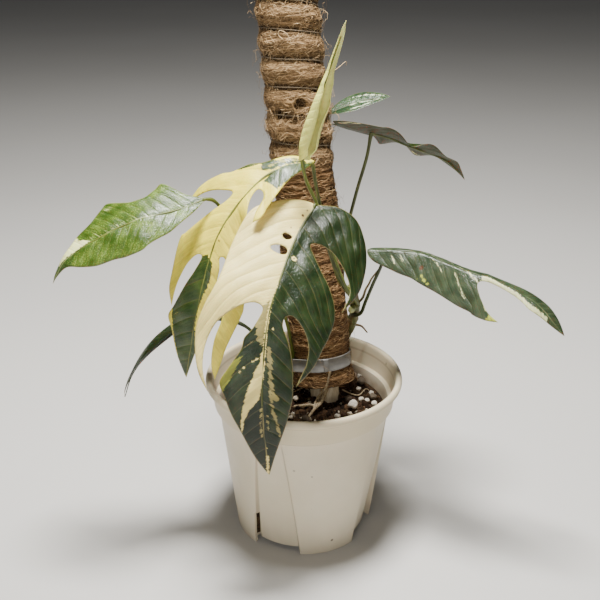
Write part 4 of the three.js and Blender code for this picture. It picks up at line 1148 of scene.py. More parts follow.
            [(115, 0), (98, -8), (84, -16), (66, -24), (45, -29), (22, -31), (0, -28), (-24, -22),
                (-39, -10), (-37, 2)],
        ],
        "holes": [],
        "petiole": [(62, 63, 380), (52, 65, 340), (43, 73, 290), (41, 71, 242), (46, 61, 204),
            (50, 57, 196)],
        "rib": [(-37, 2), (115, 0)],
        "veins": 11,
        "marks": {
            "marble": [("area", [(22, -34), (66, -26), (72, 4), (30, 12)]), ("area", [(-36, 8), (-36, 30),
                (-16, 30), (-18, 12)])],
            "cream": [("line", 2, [(-34, 10), (-26, 22), (-16, 27)]), ("line", 1.6, [(34, -20), (52, -24),
                (62, -22)])],
            "dark": [("area", [(66, -30), (92, -20), (110, 0), (92, 14), (70, 10)])],
        },
    },
    "leaf_back_small": {
        "spine": [(24, 108, 414), (42, 110, 421), (63, 113, 427), (88, 115, 430)],
        "face": [(0, -0.1, -0.25, 0.95), (1, 0.1, -0.25, 0.95)],
        "sweep": 0.2,
        "plus": [(0, 5, 40), (1, 5, 20)],
        "minus": [(0, 5, 40), (1, 5, 20)],
        "ripple": (1.5, 2, 0),
        "outline": [
            [(0, 0), (8, 9), (22, 15), (40, 14), (56, 8), (67, 0)],
            [(67, 0), (56, -9), (40, -15), (22, -14), (8, -7), (0, 0)],
        ],
        "holes": [],
        "petiole": [(25, 109, 395), (28, 108, 350), (32, 99, 300), (37, 84, 240), (37, 68, 190),
            (38, 65, 176)],
        "rib": [(0, 0), (67, 0)],
        "veins": 8,
        "marks": {
            "cream": [("line", 2, [(24, 10), (36, 11), (48, 7)]), ("line", 1.5, [(30, -9), (44, -8),
                (60, -3)]), ("line", 1.6, [(24, 2), (40, 4), (54, 3)])],
            "marble": [("area", [(20, -14), (70, -10), (70, 10), (20, 12)])],
        },
    },
    "leaf_new_rolled": {
        "spine": [(-2, -18, 401), (0, -20, 416), (5, -23, 438), (13, -26, 460), (21, -29, 485),
            (29, -31, 509), (35, -32, 527)],
        "face": [(0, -0.3, 0.9, 0.2), (1, -0.3, 0.9, 0.2)],
        "sweep": 0,
        "plus": [(0, 0, 1300), (0.15, 0, 760), (0.45, 0, 860), (0.58, 0, 1150), (0.7, 0, 2000),
            (1, 0, 2900)],
        "minus": [(0, 0, 1200), (0.15, 0, 680), (0.45, 0, 760), (0.58, 0, 1050), (0.7, 0, 1800),
            (1, 0, 2600)],
        "ripple": (0, 1, 0),
        "outline": [
            [(0, 0), (4, 10), (14, 20), (30, 22), (48, 20), (64, 16), (78, 11), (92, 6.5), (108, 4.5),
                (122, 2.6), (133, 0)],
            [(133, 0), (122, -2.6), (108, -4.5), (92, -6.5), (78, -11), (64, -16), (48, -20), (30, -22),
                (14, -20), (4, -10), (0, 0)],
        ],
        "holes": [],
        "petiole": [(2, -11, 380), (11, -2, 357), (17, 0, 338), (27, 2, 305), (39, 8, 270), (46, 17, 254),
            (50, 29, 246)],
        "rib": [(0, 0), (133, 0)],
        "veins": 8,
        "marks": {
            "yellow": [("area", [(-10, -40), (150, -40), (150, 40), (-10, 40)])],
            "pale": [("line", 2.5, [(10, 14), (40, 17), (80, 12)]), ("line", 1.5, [(20, 6), (60, 7),
                (110, 3)])],
        },
    },
    "leaf_low_narrow": {
        "spine": [(-68, 4, 230), (-89, -4, 236), (-111, -12, 237), (-127, -18, 230), (-149, -26, 214),
            (-166, -32, 194), (-177, -35, 172), (-178, -34, 148)],
        "face": [(0, -0.2, 0.12, 0.95), (0.5, -0.5, 0, 0.8), (1, -0.97, -0.05, 0.2)],
        "sweep": 0.2,
        "plus": [(0, 10, 30), (1, 5, 20)],
        "minus": [(0, 10, 30), (1, 5, 20)],
        "ripple": (1, 3, 0),
        "outline": [
            [(0, 0), (15, 8), (40, 15), (75, 17), (105, 13), (130, 6), (152, 0)],
            [(152, 0), (130, -6), (105, -12), (75, -16), (40, -14), (15, -8), (0, 0)],
        ],
        "holes": [],
        "petiole": [(-53, 3, 219), (-38, 7, 190), (-29, 8, 155), (-27, 8, 116)],
        "rib": [(0, 0), (152, 0)],
        "veins": 10,
        "marks": {},
    },
}


def read_table(rows, share):
    """Values at each share, eased between the rows."""
    rows = np.array(rows, float)
    share = np.clip(share, rows[0, 0], rows[-1, 0])
    low = np.clip(np.searchsorted(rows[:, 0], share, side="right") - 1, 0, len(rows) - 2)
    t = smooth(share, rows[low, 0], rows[low + 1, 0])[:, None]
    return lerp(rows[low, 1:], rows[low + 1, 1:], t)


def lay_leaf(leaf, x, y):
    """Lays flat points of the leaf in space."""
    track = leaf["track"]
    on_spine = np.clip(x, 0, track.length)
    tangent = track.along(on_spine)
    point = track.at(on_spine) + tangent * (x - on_spine)[:, None]
    facing = read_table(leaf["face"], on_spine / track.length)
    across = unit(np.cross(tangent, facing))
    facing = np.cross(across, tangent)
    away = np.abs(y)
    station = np.clip((x - away * leaf["sweep"]) / track.length, 0, 1)
    bend = np.where((y >= 0)[:, None], read_table(leaf["plus"], station), read_table(leaf["minus"], station))
    fold, curl = np.radians(bend[:, 0]), np.radians(bend[:, 1]) / 100
    side = (np.sin(fold) - np.sin(fold - curl * away)) / curl
    height, count, phase = leaf["ripple"]
    swell = np.minimum(away / 60, 1.5) ** 2
    wave = height * swell * np.sin(2 * math.pi * count * station + phase + np.where(y >= 0, 0, 2.0))
    lift = (np.cos(fold - curl * away) - np.cos(fold)) / curl + wave
    return point + across * (np.sign(y) * side)[:, None] + facing * lift[:, None]


def leaf_normals(leaf, x, y):
    """The upper side's direction at flat points."""
    step = 0.5
    along = lay_leaf(leaf, x + step, y) - lay_leaf(leaf, x - step, y)
    across = lay_leaf(leaf, x, y + step) - lay_leaf(leaf, x, y - step)
    return unit(np.cross(across, along))


def run_points(run, step):
    """Even points along one run of an outline."""
    track = Track([(x, y, 0) for x, y in run], 30)
    count = max(2, round(track.length / step))
    return track.at(np.arange(count) / count * track.length)[:, :2]


def flat_leaf(leaf, step):
    """Points and triangles of the flat leaf, and each point's distance from the margin."""
    margin = np.concatenate([run_points(run, step) for run in leaf["outline"]])
    loops = [margin]
    for x, y, rx, ry in leaf["holes"]:
        turns = full_turn(22)
        ragged = 1 + 0.06 * np.sin(3 * turns + x)
        loops.append(np.stack([x + rx * ragged * np.cos(turns), y + ry * ragged * np.sin(turns)], axis=-1))
    low, high = margin.min(0), margin.max(0)
    field = []
    for i, y in enumerate(np.arange(low[1], high[1], step * MESH_ROW_STEP)):
        row = np.arange(low[0] + (i % 2) * step / 2, high[0], step)
        field.append(np.stack([row, np.full(len(row), y)], axis=-1))
    field = np.concatenate(field)
    field = field[is_inside(field, margin)]
    clear = np.min([distance_to(field, loop) for loop in loops], axis=0) > 0.55 * step
    for hole in loops[1:]:
        clear &= ~is_inside(field, hole)
    field = field[clear]
    edges, start = [], 0
    for loop in loops:
        edges += [(start + i, start + (i + 1) % len(loop)) for i in range(len(loop))]
        start += len(loop)
    flat = np.concatenate(loops + [field])
    result = delaunay_2d_cdt([Vector(p) for p in flat], edges, [], 0, 1e-5)
    points = np.array([tuple(p) for p in result[0]])
    triangles = np.array(result[2])
    centres = points[triangles].mean(axis=1)
    inside = is_inside(centres, margin)
    for hole in loops[1:]:
        inside &= ~is_inside(centres, hole)
    edge = np.min([distance_to(points, loop) for loop in loops], axis=0)
    return points, triangles[inside], edge


def mark_field(marks, points):
    """How far inside the marks each flat point lies, in millimetres, and below zero outside them."""
    field = np.full(len(points), -MARK_REACH)
    for kind, *shape in marks:
        if kind == "area":
            loop = np.array(shape[0], float)
            depth = distance_to(points, loop) * np.where(is_inside(points, loop), 1, -1)
        elif kind == "line":
            width, line = shape
            depth = width / 2 - distance_to(points, np.array(line, float), closed=False)
        else:
            x, y, radius = shape
            depth = radius - np.linalg.norm(points - [x, y], axis=1)
        field = np.maximum(field, depth)
    return np.clip(field, -MARK_REACH, MARK_REACH)


ROLLED_LEAF = "leaf_new_rolled"
MARK_KINDS = ("cream", "yellow", "pale", "dark", "brown", "marble")


def make_leaf(name, step, blade_material, petiole_material):
    """A blade with sunken veins, its midrib and its petiole, in one piece."""
    leaf = LEAVES[name]
    leaf["track"] = Track(leaf["spine"])
    points, triangles, edge = flat_leaf(leaf, step)
    x, y = points.T
    vein_depth, waviness, rib_depth = (0.3, 0.1, 0.0) if name == ROLLED_LEAF else (0.75, 0.45, 0.5)
    rib = np.array(leaf["rib"], float)
    beside = y - np.interp(x, rib[:, 0], rib[:, 1])
    away = np.abs(beside)
    across = x - VEIN_SWEEP * away - VEIN_BEND * away**2
    phase = across / leaf["veins"] + 0.16 * np.sin(across / 19 + 1) + np.where(beside > 0, 0.5, 0.0)
    ridge = np.abs(np.sin(math.pi * phase)) ** 0.7 - 0.6
    relief = vein_depth * ridge * smooth(away, 1.5, 14) * smooth(edge, 0, 7)
    relief += waviness * waves(points, 26, len(name)) * smooth(edge, 0, 10)
    relief -= rib_depth * np.exp(-((away / 1.6) ** 2))
    normals = leaf_normals(leaf, x, y)
    middle = lay_leaf(leaf, x, y) + normals * relief[:, None]
    half = BLADE_THICKNESS / 2 * lerp(0.35, 1.0, smooth(edge, 0, 2.5))[:, None]
    count = len(points)
    faces, borders = [], set()
    for a, b, c in triangles.tolist():
        faces += [(c, b, a), (a + count, b + count, c + count)]
        borders.symmetric_difference_update(tuple(sorted(pair)) for pair in ((a, b), (b, c), (c, a)))
    inner = {(p, q) for a, b, c in triangles.tolist() for p, q in ((a, b), (b, c), (c, a))}
    for a, b in borders:
        if (a, b) not in inner:
            a, b = b, a
        faces.append((a, b, b + count, a + count))
    green = mark_field(leaf["marks"].get("green", []), points)
    values = {kind: mark_field(leaf["marks"].get(kind, []), points) for kind in MARK_KINDS}
    for kind in ("cream", "yellow"):
        values[kind] = np.minimum(values[kind], -green)
    flat = np.stack([x, y, np.zeros(count)], axis=-1)
    vein = np.stack([across, beside, phase], axis=-1)
    form = Form()
    form.add(np.concatenate([middle + normals * half, middle - normals * half]), faces,
             flat=np.tile(flat, (2, 1)), vein=np.tile(vein, (2, 1)), rib=np.tile(away, 2),
             edge=np.tile(edge, 2), under=np.repeat([0.0, 1.0], count),
             **{kind: np.tile(depths, 2) for kind, depths in values.items()})
    add_rib_and_petiole(form, leaf, rib)
    return form.piece(name.replace("leaf", "blade"), [blade_material, petiole_material])


def add_rib_and_petiole(form, leaf, rib):
    """The midrib stands proud of the underside. The petiole has a thicker knee at the blade."""
    length = leaf["track"].length

    def underside(x, drop=1.0):
        x = np.atleast_1d(np.asarray(x, float))
        y = np.interp(x, rib[:, 0], rib[:, 1])
        return lay_leaf(leaf, x, y) - leaf_normals(leaf, x, y) * drop

    rib_path = underside(np.array([0, 0.15, 0.3, 0.45, 0.6, 0.75, 0.9]) * length, 0.8)
    tube(form, rib_path, tapered(1.5, 0.4), 8, 3.0, slot=1, kind=0.0)
    path = np.concatenate([underside(4), underside(0), np.array(leaf["petiole"], float)])
    reach = Track(path).length

    def petiole_radius(share):
        run = share * reach
        knee = 0.45 * np.exp(-(((run - 9) / 5) ** 2))
        sheath = 0.6 * smooth(run, reach - 18, reach)
        return lerp(1.6, 2.0, share) + knee + sheath

    tube(form, path, petiole_radius, 14, 1.6, slot=1, groove=0.25, kind=1.0)


# Finishes

def blended(first, share, second, other_share):
    return tuple(share * a + other_share * b for a, b in zip(first, second))


def leaf_paint(name, deep, light, cream, yellow=(0.55, 0.56, 0.12), dark=(0.035, 0.05, 0.02), marbling=0.0,
               gloss=0.55):
    """Colours that follow the side veins: a blotchy green with pale flecks, under cream and other marks."""
    paint = Paint(name)
    flat, vein = paint.vector("flat"), paint.vector("vein")
    under, rib, edge = paint.value("under"), paint.value("rib"), paint.value("edge")
    streaks = paint.grain(vein, (0.34, 0.055, 0), 4.0, 0.62)
    fine = paint.grain(vein, (1.5, 0.16, 0), 3.0, 0.6, shift=(7, 3, 0))
    broad = paint.grain(flat, (0.05, 0.06, 0), 3.0, 0.55)
    speckle = paint.grain(flat, (0.9, 0.9, 0), 2.0, 0.5)
    wander = (streaks - 0.5) * 13.0 + (fine - 0.5) * 4.0
    broken = (speckle - 0.5) * 2.4

    def mark(kind, looseness, unevenness=0.0):
        return (paint.value(kind) + wander * looseness + unevenness).between(-0.45, 0.45)

    pale = blended(light, 0.45, cream, 0.55)
    paint.base((broad * 0.72 + streaks * 0.4).between(0.42, 0.76), deep, light)
    paint.coat(mark("dark", 1.4), dark)
    flecks = streaks * 0.62 + fine * 0.3 + speckle * 0.2 + paint.value("marble") * 0.012
    paint.coat((flecks + marbling).between(0.68, 0.77) * 0.7, pale)
    paint.coat(mark("pale", 0.7) * 0.55, pale)
    if marbling:
        dots = (speckle * 0.5 + fine * 0.25 + broad * 0.3).between(0.535, 0.63)
        paint.coat(dots * 0.6, blended(light, 1.9, cream, 0.14))
    cream_tone = paint.mix(streaks.between(0.35, 0.7), tuple(0.86 * c for c in cream), cream)
    patchy = (streaks * 0.5 + broad * 0.5).between(0.38, 0.62)
    yellow_tone = paint.mix(patchy, tuple(0.8 * c for c in yellow), yellow)
    creamy, yellowed = mark("cream", 0.35, broken), mark("yellow", 0.35, broken)
    variegated = creamy.larger(yellowed)
    paint.coat(yellowed, yellow_tone)
    paint.coat(creamy, cream_tone)
    stray_green = (1.0 - streaks * 0.7 - fine * 0.45).between(0.62, 0.66) * variegated
    paint.coat(stray_green * 0.55, blended(light, 0.5, yellow, 0.5))
    side_vein = paint.part(vein, "Z").to_whole()
    paint.coat(side_vein.below(0.0, 0.05) * 0.09, pale)
    paint.coat(rib.below(0.35, 0.9) * 0.4, pale)
    paint.coat(edge.below(0.1, 0.9) * 0.35, pale)
    paint.coat(mark("brown", 0.03), (0.09, 0.035, 0.012))
    paint.coat(under * (0.5 - variegated * 0.5), blended(light, 1.15, cream, 0.05))
    paint.coat(under * variegated * 0.5, (0.80, 0.80, 0.42))
    net = paint.cells(paint.scaled(vein, (0.75, 0.42, 0)), 1.0, "DISTANCE_TO_EDGE")
    small_vein = (paint.part(vein, "Z") * 5.0 + streaks).to_whole()
    height = net.between(0.0, 0.16) * 0.5 + small_vein * 0.6 + side_vein.between(0.0, 0.12) * 1.2
    rough = 0.24 + streaks * 0.14 + under * 0.25 + variegated * 0.14
    return paint.finish(rough, paint.bump(height, 0.35, 0.0006),
                        subsurface_weight=0.1, subsurface_scale=0.004, specular_ior_level=gloss)


def petiole_paint(name, dark, light):
    """Fine stripes run along a petiole, with a few corky dots."""
    paint = Paint(name)
    flat = paint.vector("flat")
    stripes = paint.grain(flat, (0.035, 1.3, 0.4), 3.0, 0.6)
    patches = paint.grain(flat, (0.06, 0.25, 0), 2.0, 0.5, 0.5)
    paint.base((stripes * 0.5 + patches * 0.5).between(0.4, 0.6), dark, light)
    dots = paint.cells(paint.scaled(flat, (0.5, 0.9, 0)), 1.0).below(0.06, 0.14)
    paint.coat(dots * patches.between(0.45, 0.6) * 0.7, (0.10, 0.05, 0.02))
    return paint.finish(0.4 + patches * 0.15, paint.bump(stripes, 0.3, 0.0005),
                        subsurface_weight=0.06, subsurface_scale=0.002)


def spot(paint, place, centre, radius):
    """1 within the radius of a place on the piece, with a ragged edge."""
    away = paint.node("ShaderNodeVectorMath", {"operation": "DISTANCE"},
                      {0: place, 1: tuple(c * MM for c in centre)}, "Value")
    ragged = paint.noise(place, 900.0, 2.0)
    reach = radius * MM
    return (away + (ragged - 0.5) * reach).below(0.7 * reach, 1.15 * reach)


def pot_paint():
    """Dusty cream plastic with scuffs and specks; painted shade at recess steps, slots, band and lip."""
    paint = Paint("plastic_pot_cream")
    place = paint.place()
    height = paint.part(place, "Z")
    cloudy = paint.noise(place, 14.0, 4.0, 0.6)
    grit = paint.noise(place, 260.0, 3.0, 0.6)
    sag = paint.grain(place, (60, 60, 9), 3.0, 0.6)
    paint.base(cloudy.between(0.35, 0.68), (0.655, 0.575, 0.425), (0.70, 0.62, 0.47))
    paint.coat(height.below(0.0, 0.05) * (cloudy + sag).between(0.75, 1.25) * 0.2, (0.40, 0.31, 0.19))
    scuffs = paint.grain(place, (300, 300, 26), 4.0, 0.7, 0.4, shift=(3, 1, 0)).between(0.66, 0.74)
    scuffs = scuffs * cloudy.between(0.45, 0.6)
    paint.coat(scuffs * 0.2, (0.36, 0.30, 0.21))
    drips = paint.grain(place, (130, 130, 5), 3.0, 0.5).between(0.62, 0.75)
    paint.coat(drips * 0.07, (0.42, 0.34, 0.22))
    flecks = paint.cells(place, 170.0).below(0.08, 0.13)
    paint.coat(flecks * cloudy.between(0.58, 0.66) * 0.4, (0.16, 0.11, 0.06))
    for centre, radius, strength in POT_SPECKS:
        paint.coat(spot(paint, place, centre, radius) * strength, (0.09, 0.06, 0.035))

    east, north = paint.part(place, "X"), paint.part(place, "Y")
    ring = (east * east + north * north) ** 0.5
    wall_foot = ring - height * WALL_SLOPE
    wall_edge, recess_edge = WALL_FOOT_INSIDE * MM, RECESS_FOOT_INSIDE * MM
    soiled = wall_foot.below(wall_edge, wall_edge + 0.0004) * height.below(0.138, 0.150)
    soiled = soiled * height.between(0.120, 0.128)
    paint.coat(soiled * (0.25 + cloudy.between(0.4, 0.65) * 0.6), (0.17, 0.115, 0.06))
    outside = wall_foot.between(wall_edge, wall_edge + 0.0008)
    paint.coat(outside * height.between(0.1425, 0.1440) * 0.55, (0.60, 0.51, 0.32))

    quarter = math.pi / 2
    half_foot, half_top = math.radians(RECESS_HALF_FOOT), math.radians(RECESS_HALF_TOP)
    turn = east.math("ARCTAN2", east, -north) - math.radians(RECESS_CENTRE)
    off_centre = turn.math("ABSOLUTE", turn.math("WRAP", turn, quarter / 2, -quarter / 2))
    beyond = off_centre - (half_foot - height * ((half_foot - half_top) / (POT_BODY_TOP * MM)))
    # Painted shade: dark lines along the steps of the recesses, under the band's overhang and under the lip.
    crease_shade = (beyond * ring).near(-0.0008, 0.0003, 0.0013) * height.below(0.130, 0.143)
    band_shade = height.near(BAND_SHADE_HEIGHT * MM, 0.0007, 0.0017)
    lip_shade = height.near(LIP_SHADE_HEIGHT * MM, 0.0006, 0.0016) * 0.7
    lines = (crease_shade * 0.75).larger(band_shade.larger(lip_shade) * outside)
    paint.coat(lines * (0.35 + cloudy * 0.4), (0.23, 0.17, 0.095))
    # Painted shade: near-black on the inner faces that show through the slots.
    hollow = (ring - height * RECESS_SLOPE).below(recess_edge, recess_edge + 0.0004)
    hollow = hollow * height.below(0.040, 0.044)
    near_slot = (beyond + 0.02).below(0.09, 0.12)
    paint.coat(hollow * near_slot * ring.between(0.058, 0.060) * 0.92, (0.035, 0.024, 0.014))
    relief = grit * 0.25 + scuffs * 0.6 + sag * 0.5
    return paint.finish(0.36 + cloudy * 0.2 + scuffs * 0.15, paint.bump(relief, 0.15, 0.0008),
                        subsurface_weight=0.08, subsurface_scale=0.006, specular_ior_level=0.45)


def peat_paint():
    paint = Paint("potting_mix")
    place = paint.place()
    lumps = paint.noise(place, 180.0, 4.0, 0.65)
    paint.base(lumps.between(0.35, 0.7), (0.017, 0.009, 0.004), (0.085, 0.048, 0.022))
    fluff = paint.grain(place, (900, 240, 900), 2.0, 0.6)
    paint.coat(fluff.between(0.63, 0.72) * 0.6, (0.19, 0.115, 0.055))
    return paint.finish(0.95, paint.bump(lumps, 0.8, 0.002), specular_ior_level=0.2)


def crumb_paint(name, dark, middle, light):
    """Each crumb has one tone of its own, and fine grain."""
    paint = Paint(name)
    place, tone = paint.place(), paint.value("tone")
    grain = paint.noise(place, 1300.0, 3.0, 0.6)
    paint.base(tone.between(0.0, 0.7), dark, middle)
    paint.coat(tone.between(0.72, 1.0) * 0.8, light)
    paint.coat(grain.between(0.4, 0.75) * 0.5, tuple(0.4 * c for c in middle))
    return paint.finish(0.9, paint.bump(grain, 0.6, 0.0007), specular_ior_level=0.25)


def wood_paint():
    paint = Paint("stake_wood")
    place = paint.place()
    grain = paint.grain(place, (420, 420, 16), 4.0, 0.6, 0.3)
    broad = paint.grain(place, (60, 60, 5), 2.0)
    paint.base(grain.between(0.35, 0.68), (0.62, 0.52, 0.37), (0.86, 0.77, 0.60))
    paint.coat(broad.between(0.55, 0.7) * 0.3, (0.32, 0.23, 0.14))
    low = paint.part(place, "Z").below(0.134, 0.142)
    paint.coat(low * (0.1 + grain * 0.4), (0.10, 0.06, 0.03))
    return paint.finish(0.75, paint.bump(grain, 0.6, 0.0008))


def coir_paint():
    """Painted shade in the grooves of the binding and in the hollows, and streaks round the pole."""
    paint = Paint("coir")
    wrap, crown = paint.vector("wrap"), paint.value("crown")
    hairs = paint.grain(wrap, (0.07, 0.07, 1.3), 5.0, 0.68, 0.15)
    cross = paint.grain(wrap, (0.3, 0.3, 0.8), 4.0, 0.65, 0.6, shift=(5, 2, 1))
    broad = paint.grain(wrap, (0.05, 0.05, 0.045), 3.0, 0.6)
    height = paint.part(wrap, "Z")
    low = height.below(215.0, 262.0)
    light = paint.mix(low, (0.52, 0.33, 0.155), (0.36, 0.20, 0.085))
    deep = paint.mix(low, (0.065, 0.034, 0.014), (0.035, 0.016, 0.006))
    paint.base((hairs * 0.72 + cross * 0.32).between(0.42, 0.62), deep, light)
    paint.coat(broad.between(0.45, 0.7) * 0.45, deep)
    # Painted shade: near-black where the crown is low, in the grooves and the hollows.
    paint.coat(crown.below(0.0, 0.6) * 0.9, (0.03, 0.016, 0.008))
    foot = height.below(17.0, 34.0)
    paint.coat(foot * 0.5, (0.035, 0.018, 0.008))
    return paint.finish(0.9, paint.bump(hairs * 0.8 + cross * 0.6, 1.0, 0.0025), specular_ior_level=0.25)


def fibre_paint(name, dark, middle, light):
    """Each fibre has one tone of its own, and a few are pale."""
    paint = Paint(name)
    place, tone = paint.place(), paint.value("tone")
    mottle = paint.noise(place, 300.0, 2.0)
    broad = paint.noise(place, 32.0, 2.0)
    paint.base((tone * 0.75 + broad * 0.4).between(0.1, 0.75), dark, middle)
    paint.coat((tone * 0.8 + mottle * 0.4).between(0.72, 1.05), light)
    return paint.finish(0.75, paint.bump(mottle, 0.3, 0.0003), specular_ior_level=0.3)


def twine_paint():
    paint = Paint("twine")
    flat = paint.vector("flat")
    strands = (paint.part(flat, "X") * 0.55 + paint.part(flat, "Y") * 0.6).to_whole()
    fluff = paint.grain(flat, (0.9, 2.0, 1.0), 3.0)
    paint.base(strands.between(0.0, 0.3), (0.07, 0.05, 0.03), (0.22, 0.165, 0.10))
    paint.coat(fluff.between(0.55, 0.7) * 0.5, (0.32, 0.25, 0.16))
    return paint.finish(0.85, paint.bump(strands, 0.8, 0.0006))


def strap_paint():
    paint = Paint("strap_plastic")
    place = paint.place()
    haze = paint.noise(place, 90.0, 3.0)
    lines = paint.grain(place, (20, 20, 2600), 2.0)
    paint.base(haze.between(0.35, 0.7), (0.27, 0.26, 0.245), (0.38, 0.37, 0.345))
    paint.coat(lines.between(0.6, 0.7) * 0.3, (0.34, 0.31, 0.26))
    return paint.finish(0.32 + haze * 0.15, paint.bump(lines + haze, 0.3, 0.0004),
                        transmission_weight=0.25, ior=1.45)


def stem_paint():
    """Olive green with corky brown bands at the rings."""
    paint = Paint("stem_skin")
    flat = paint.vector("flat")
    shoot = paint.part(flat, "Z")
    cork = paint.grain(flat, (0.12, 0.16, 1.0), 4.0, 0.6, 0.4)
    lines = paint.grain(flat, (0.10, 0.9, 1.0), 3.0, 0.6)
    paint.base((lines * 0.5 + cork * 0.5).between(0.4, 0.6), (0.10, 0.105, 0.03), (0.20, 0.215, 0.07))
    paint.coat(cork.between(0.5, 0.6) * 0.7, (0.16, 0.095, 0.045))
    fresh = paint.mix(lines.between(0.4, 0.62), (0.27, 0.31, 0.09), (0.50, 0.52, 0.22))
    paint.coat(shoot, fresh)
    return paint.finish(0.5 + cork * 0.2, paint.bump(cork + lines, 0.5, 0.0008),
                        subsurface_weight=0.05, subsurface_scale=0.002)


def root_paint(name, dark, light):
    """Corky skin with cracks across it. Fresh roots are paler."""
    paint = Paint(name)
    flat = paint.vector("flat")
    cracks = paint.grain(flat, (0.8, 0.3, 1.0), 4.0, 0.6)
    broad = paint.grain(flat, (0.07, 0.2, 1.0), 2.0)
    paint.base((cracks * 0.5 + broad * 0.5).between(0.38, 0.62), dark, light)
    paint.coat(paint.part(flat, "Z") * 0.35, (0.10, 0.10, 0.04))
    return paint.finish(0.8, paint.bump(cracks, 0.7, 0.0008))


def floor_paint():
    paint = Paint("studio_floor")
    place = paint.place()
    cloudy = paint.noise(place, 1.3, 2.0)
    paint.base(cloudy.between(0.3, 0.7), (0.60, 0.585, 0.555), (0.63, 0.615, 0.585))
    return paint.finish(0.7, specular_ior_level=0.2)


# Each leaf's finishes: the blade's, then its petiole's

GREENISH_PETIOLE = ((0.026, 0.034, 0.006), (0.08, 0.095, 0.02))
LEAF_FINISHES = {
    "leaf_front_half_moon": (
        {"deep": (0.007, 0.017, 0.004), "light": (0.026, 0.046, 0.013), "cream": (0.96, 0.77, 0.27),
         "yellow": (0.24, 0.26, 0.03), "dark": (0.005, 0.013, 0.002), "gloss": 0.4},
        ((0.035, 0.046, 0.006), (0.11, 0.125, 0.022))),
    "leaf_yellow_cut": (
        {"deep": (0.016, 0.040, 0.007), "light": (0.060, 0.100, 0.020), "cream": (0.96, 0.80, 0.13),
         "yellow": (0.97, 0.79, 0.08)},
        ((0.045, 0.060, 0.009), (0.22, 0.24, 0.04))),
    "leaf_left_speckled": (
        {"deep": (0.030, 0.070, 0.006), "light": (0.075, 0.135, 0.012), "cream": (0.95, 0.95, 0.42),
         "dark": (0.02, 0.055, 0.006), "marbling": 0.08},
        ((0.045, 0.060, 0.008), (0.18, 0.21, 0.025))),
    "leaf_right_cleft": (
        {"deep": (0.018, 0.034, 0.013), "light": (0.060, 0.088, 0.040), "cream": (0.66, 0.66, 0.34),
         "yellow": (0.42, 0.46, 0.05)},
        ((0.018, 0.026, 0.005), (0.055, 0.070, 0.015))),
    "leaf_back_wavy": (
        {"deep": (0.006, 0.014, 0.0015), "light": (0.016, 0.030, 0.003), "cream": (0.62, 0.64, 0.38),
         "gloss": 0.25},
        ((0.045, 0.055, 0.010), (0.13, 0.145, 0.04))),
    "leaf_back_small": (
        {"deep": (0.012, 0.032, 0.010), "light": (0.045, 0.080, 0.030), "cream": (0.54, 0.60, 0.42)},
        GREENISH_PETIOLE),
    "leaf_new_rolled": (
        {"deep": (0.60, 0.66, 0.05), "light": (0.88, 0.88, 0.12), "cream": (0.98, 0.96, 0.42),
         "yellow": (0.97, 0.94, 0.24)},
        ((0.07, 0.095, 0.010), (0.24, 0.28, 0.04))),
    "leaf_low_narrow": (
        {"deep": (0.012, 0.028, 0.007), "light": (0.05, 0.075, 0.022), "cream": (0.40, 0.42, 0.26)},
        ((0.016, 0.024, 0.005), (0.05, 0.065, 0.015))),
}


# Loose coir strands, drawn one by one, that curl off the bulges

LOOSE_STRANDS = [
    [(-14, 50, 434), (-19, 50, 437), (-18, 49, 442), (-11, 48, 438), (-8, 48, 429)],
    [(2, 49, 427), (-2, 47, 431), (7, 49, 435), (15, 55, 431), (13, 53, 423)],
    [(15, 51, 408), (22, 56, 407), (31, 69, 411), (35, 72, 419), (31, 75, 423)],
    [(-16, 47, 409), (-23, 47, 403), (-23, 46, 406), (-17, 44, 411), (-9, 44, 408)],
    [(24, 83, 460), (27, 81, 461), (34, 80, 467), (41, 82, 471), (41, 84, 467)],
    [(-20, 63, 496), (-25, 63, 501), (-23, 61, 505), (-16, 60, 501), (-12, 61, 492)],
]


def make_strands(material):
    form = Form()
    for i, path in enumerate(LOOSE_STRANDS):
        tube(form, path, tapered(0.42, 0.22), 5, 1.2, wander=0.5, seed=60 + i, tone=0.55 + 0.07 * (i % 6))
    return form.piece("loose_strands", [material])


# Settings in the sidebar

class PLANT_PG_leaves(bpy.types.PropertyGroup):
    mesh_step: FloatProperty(
        name="Blade mesh step", description="Space between the points of a leaf's blade",
        default=0.0017, min=0.0008, unit="LENGTH", subtype="DISTANCE")
    rolled_step: FloatProperty(
        name="Rolled leaf mesh step", description="Space between the points of the rolled leaf's blade",
        default=0.0012, min=0.0006, unit="LENGTH", subtype="DISTANCE")


class PLANT_PG_pole(bpy.types.PropertyGroup):
    upper_fibres: FloatProperty(
        name="Upper fibres", description="Fibres for each square metre of the bound coir",
        default=92000.0, min=0.0, unit="NONE", subtype="NONE")
    lower_fibres: FloatProperty(
        name="Lower fibres", description="Fibres for each square metre of the smoother coir",
        default=92000.0, min=0.0, unit="NONE", subtype="NONE")
    stray_fibres: FloatProperty(
        name="Stray fibres", description="Fibres that stand off each square metre of the coir",
        default=5200.0, min=0.0, unit="NONE", subtype="NONE")
    fibre_length: FloatProperty(
        name="Fibre length", description="Length of a middling coir fibre",
        default=0.019, min=0.004, unit="LENGTH", subtype="DISTANCE")
    fibre_thickness: FloatProperty(
        name="Fibre radius", description="Half the thickness of a coir fibre",
        default=0.00014, min=0.00005, unit="LENGTH", subtype="DISTANCE")
    seed: IntProperty(name="Seed", description="Changes how the fibres lie", default=4, subtype="UNSIGNED")


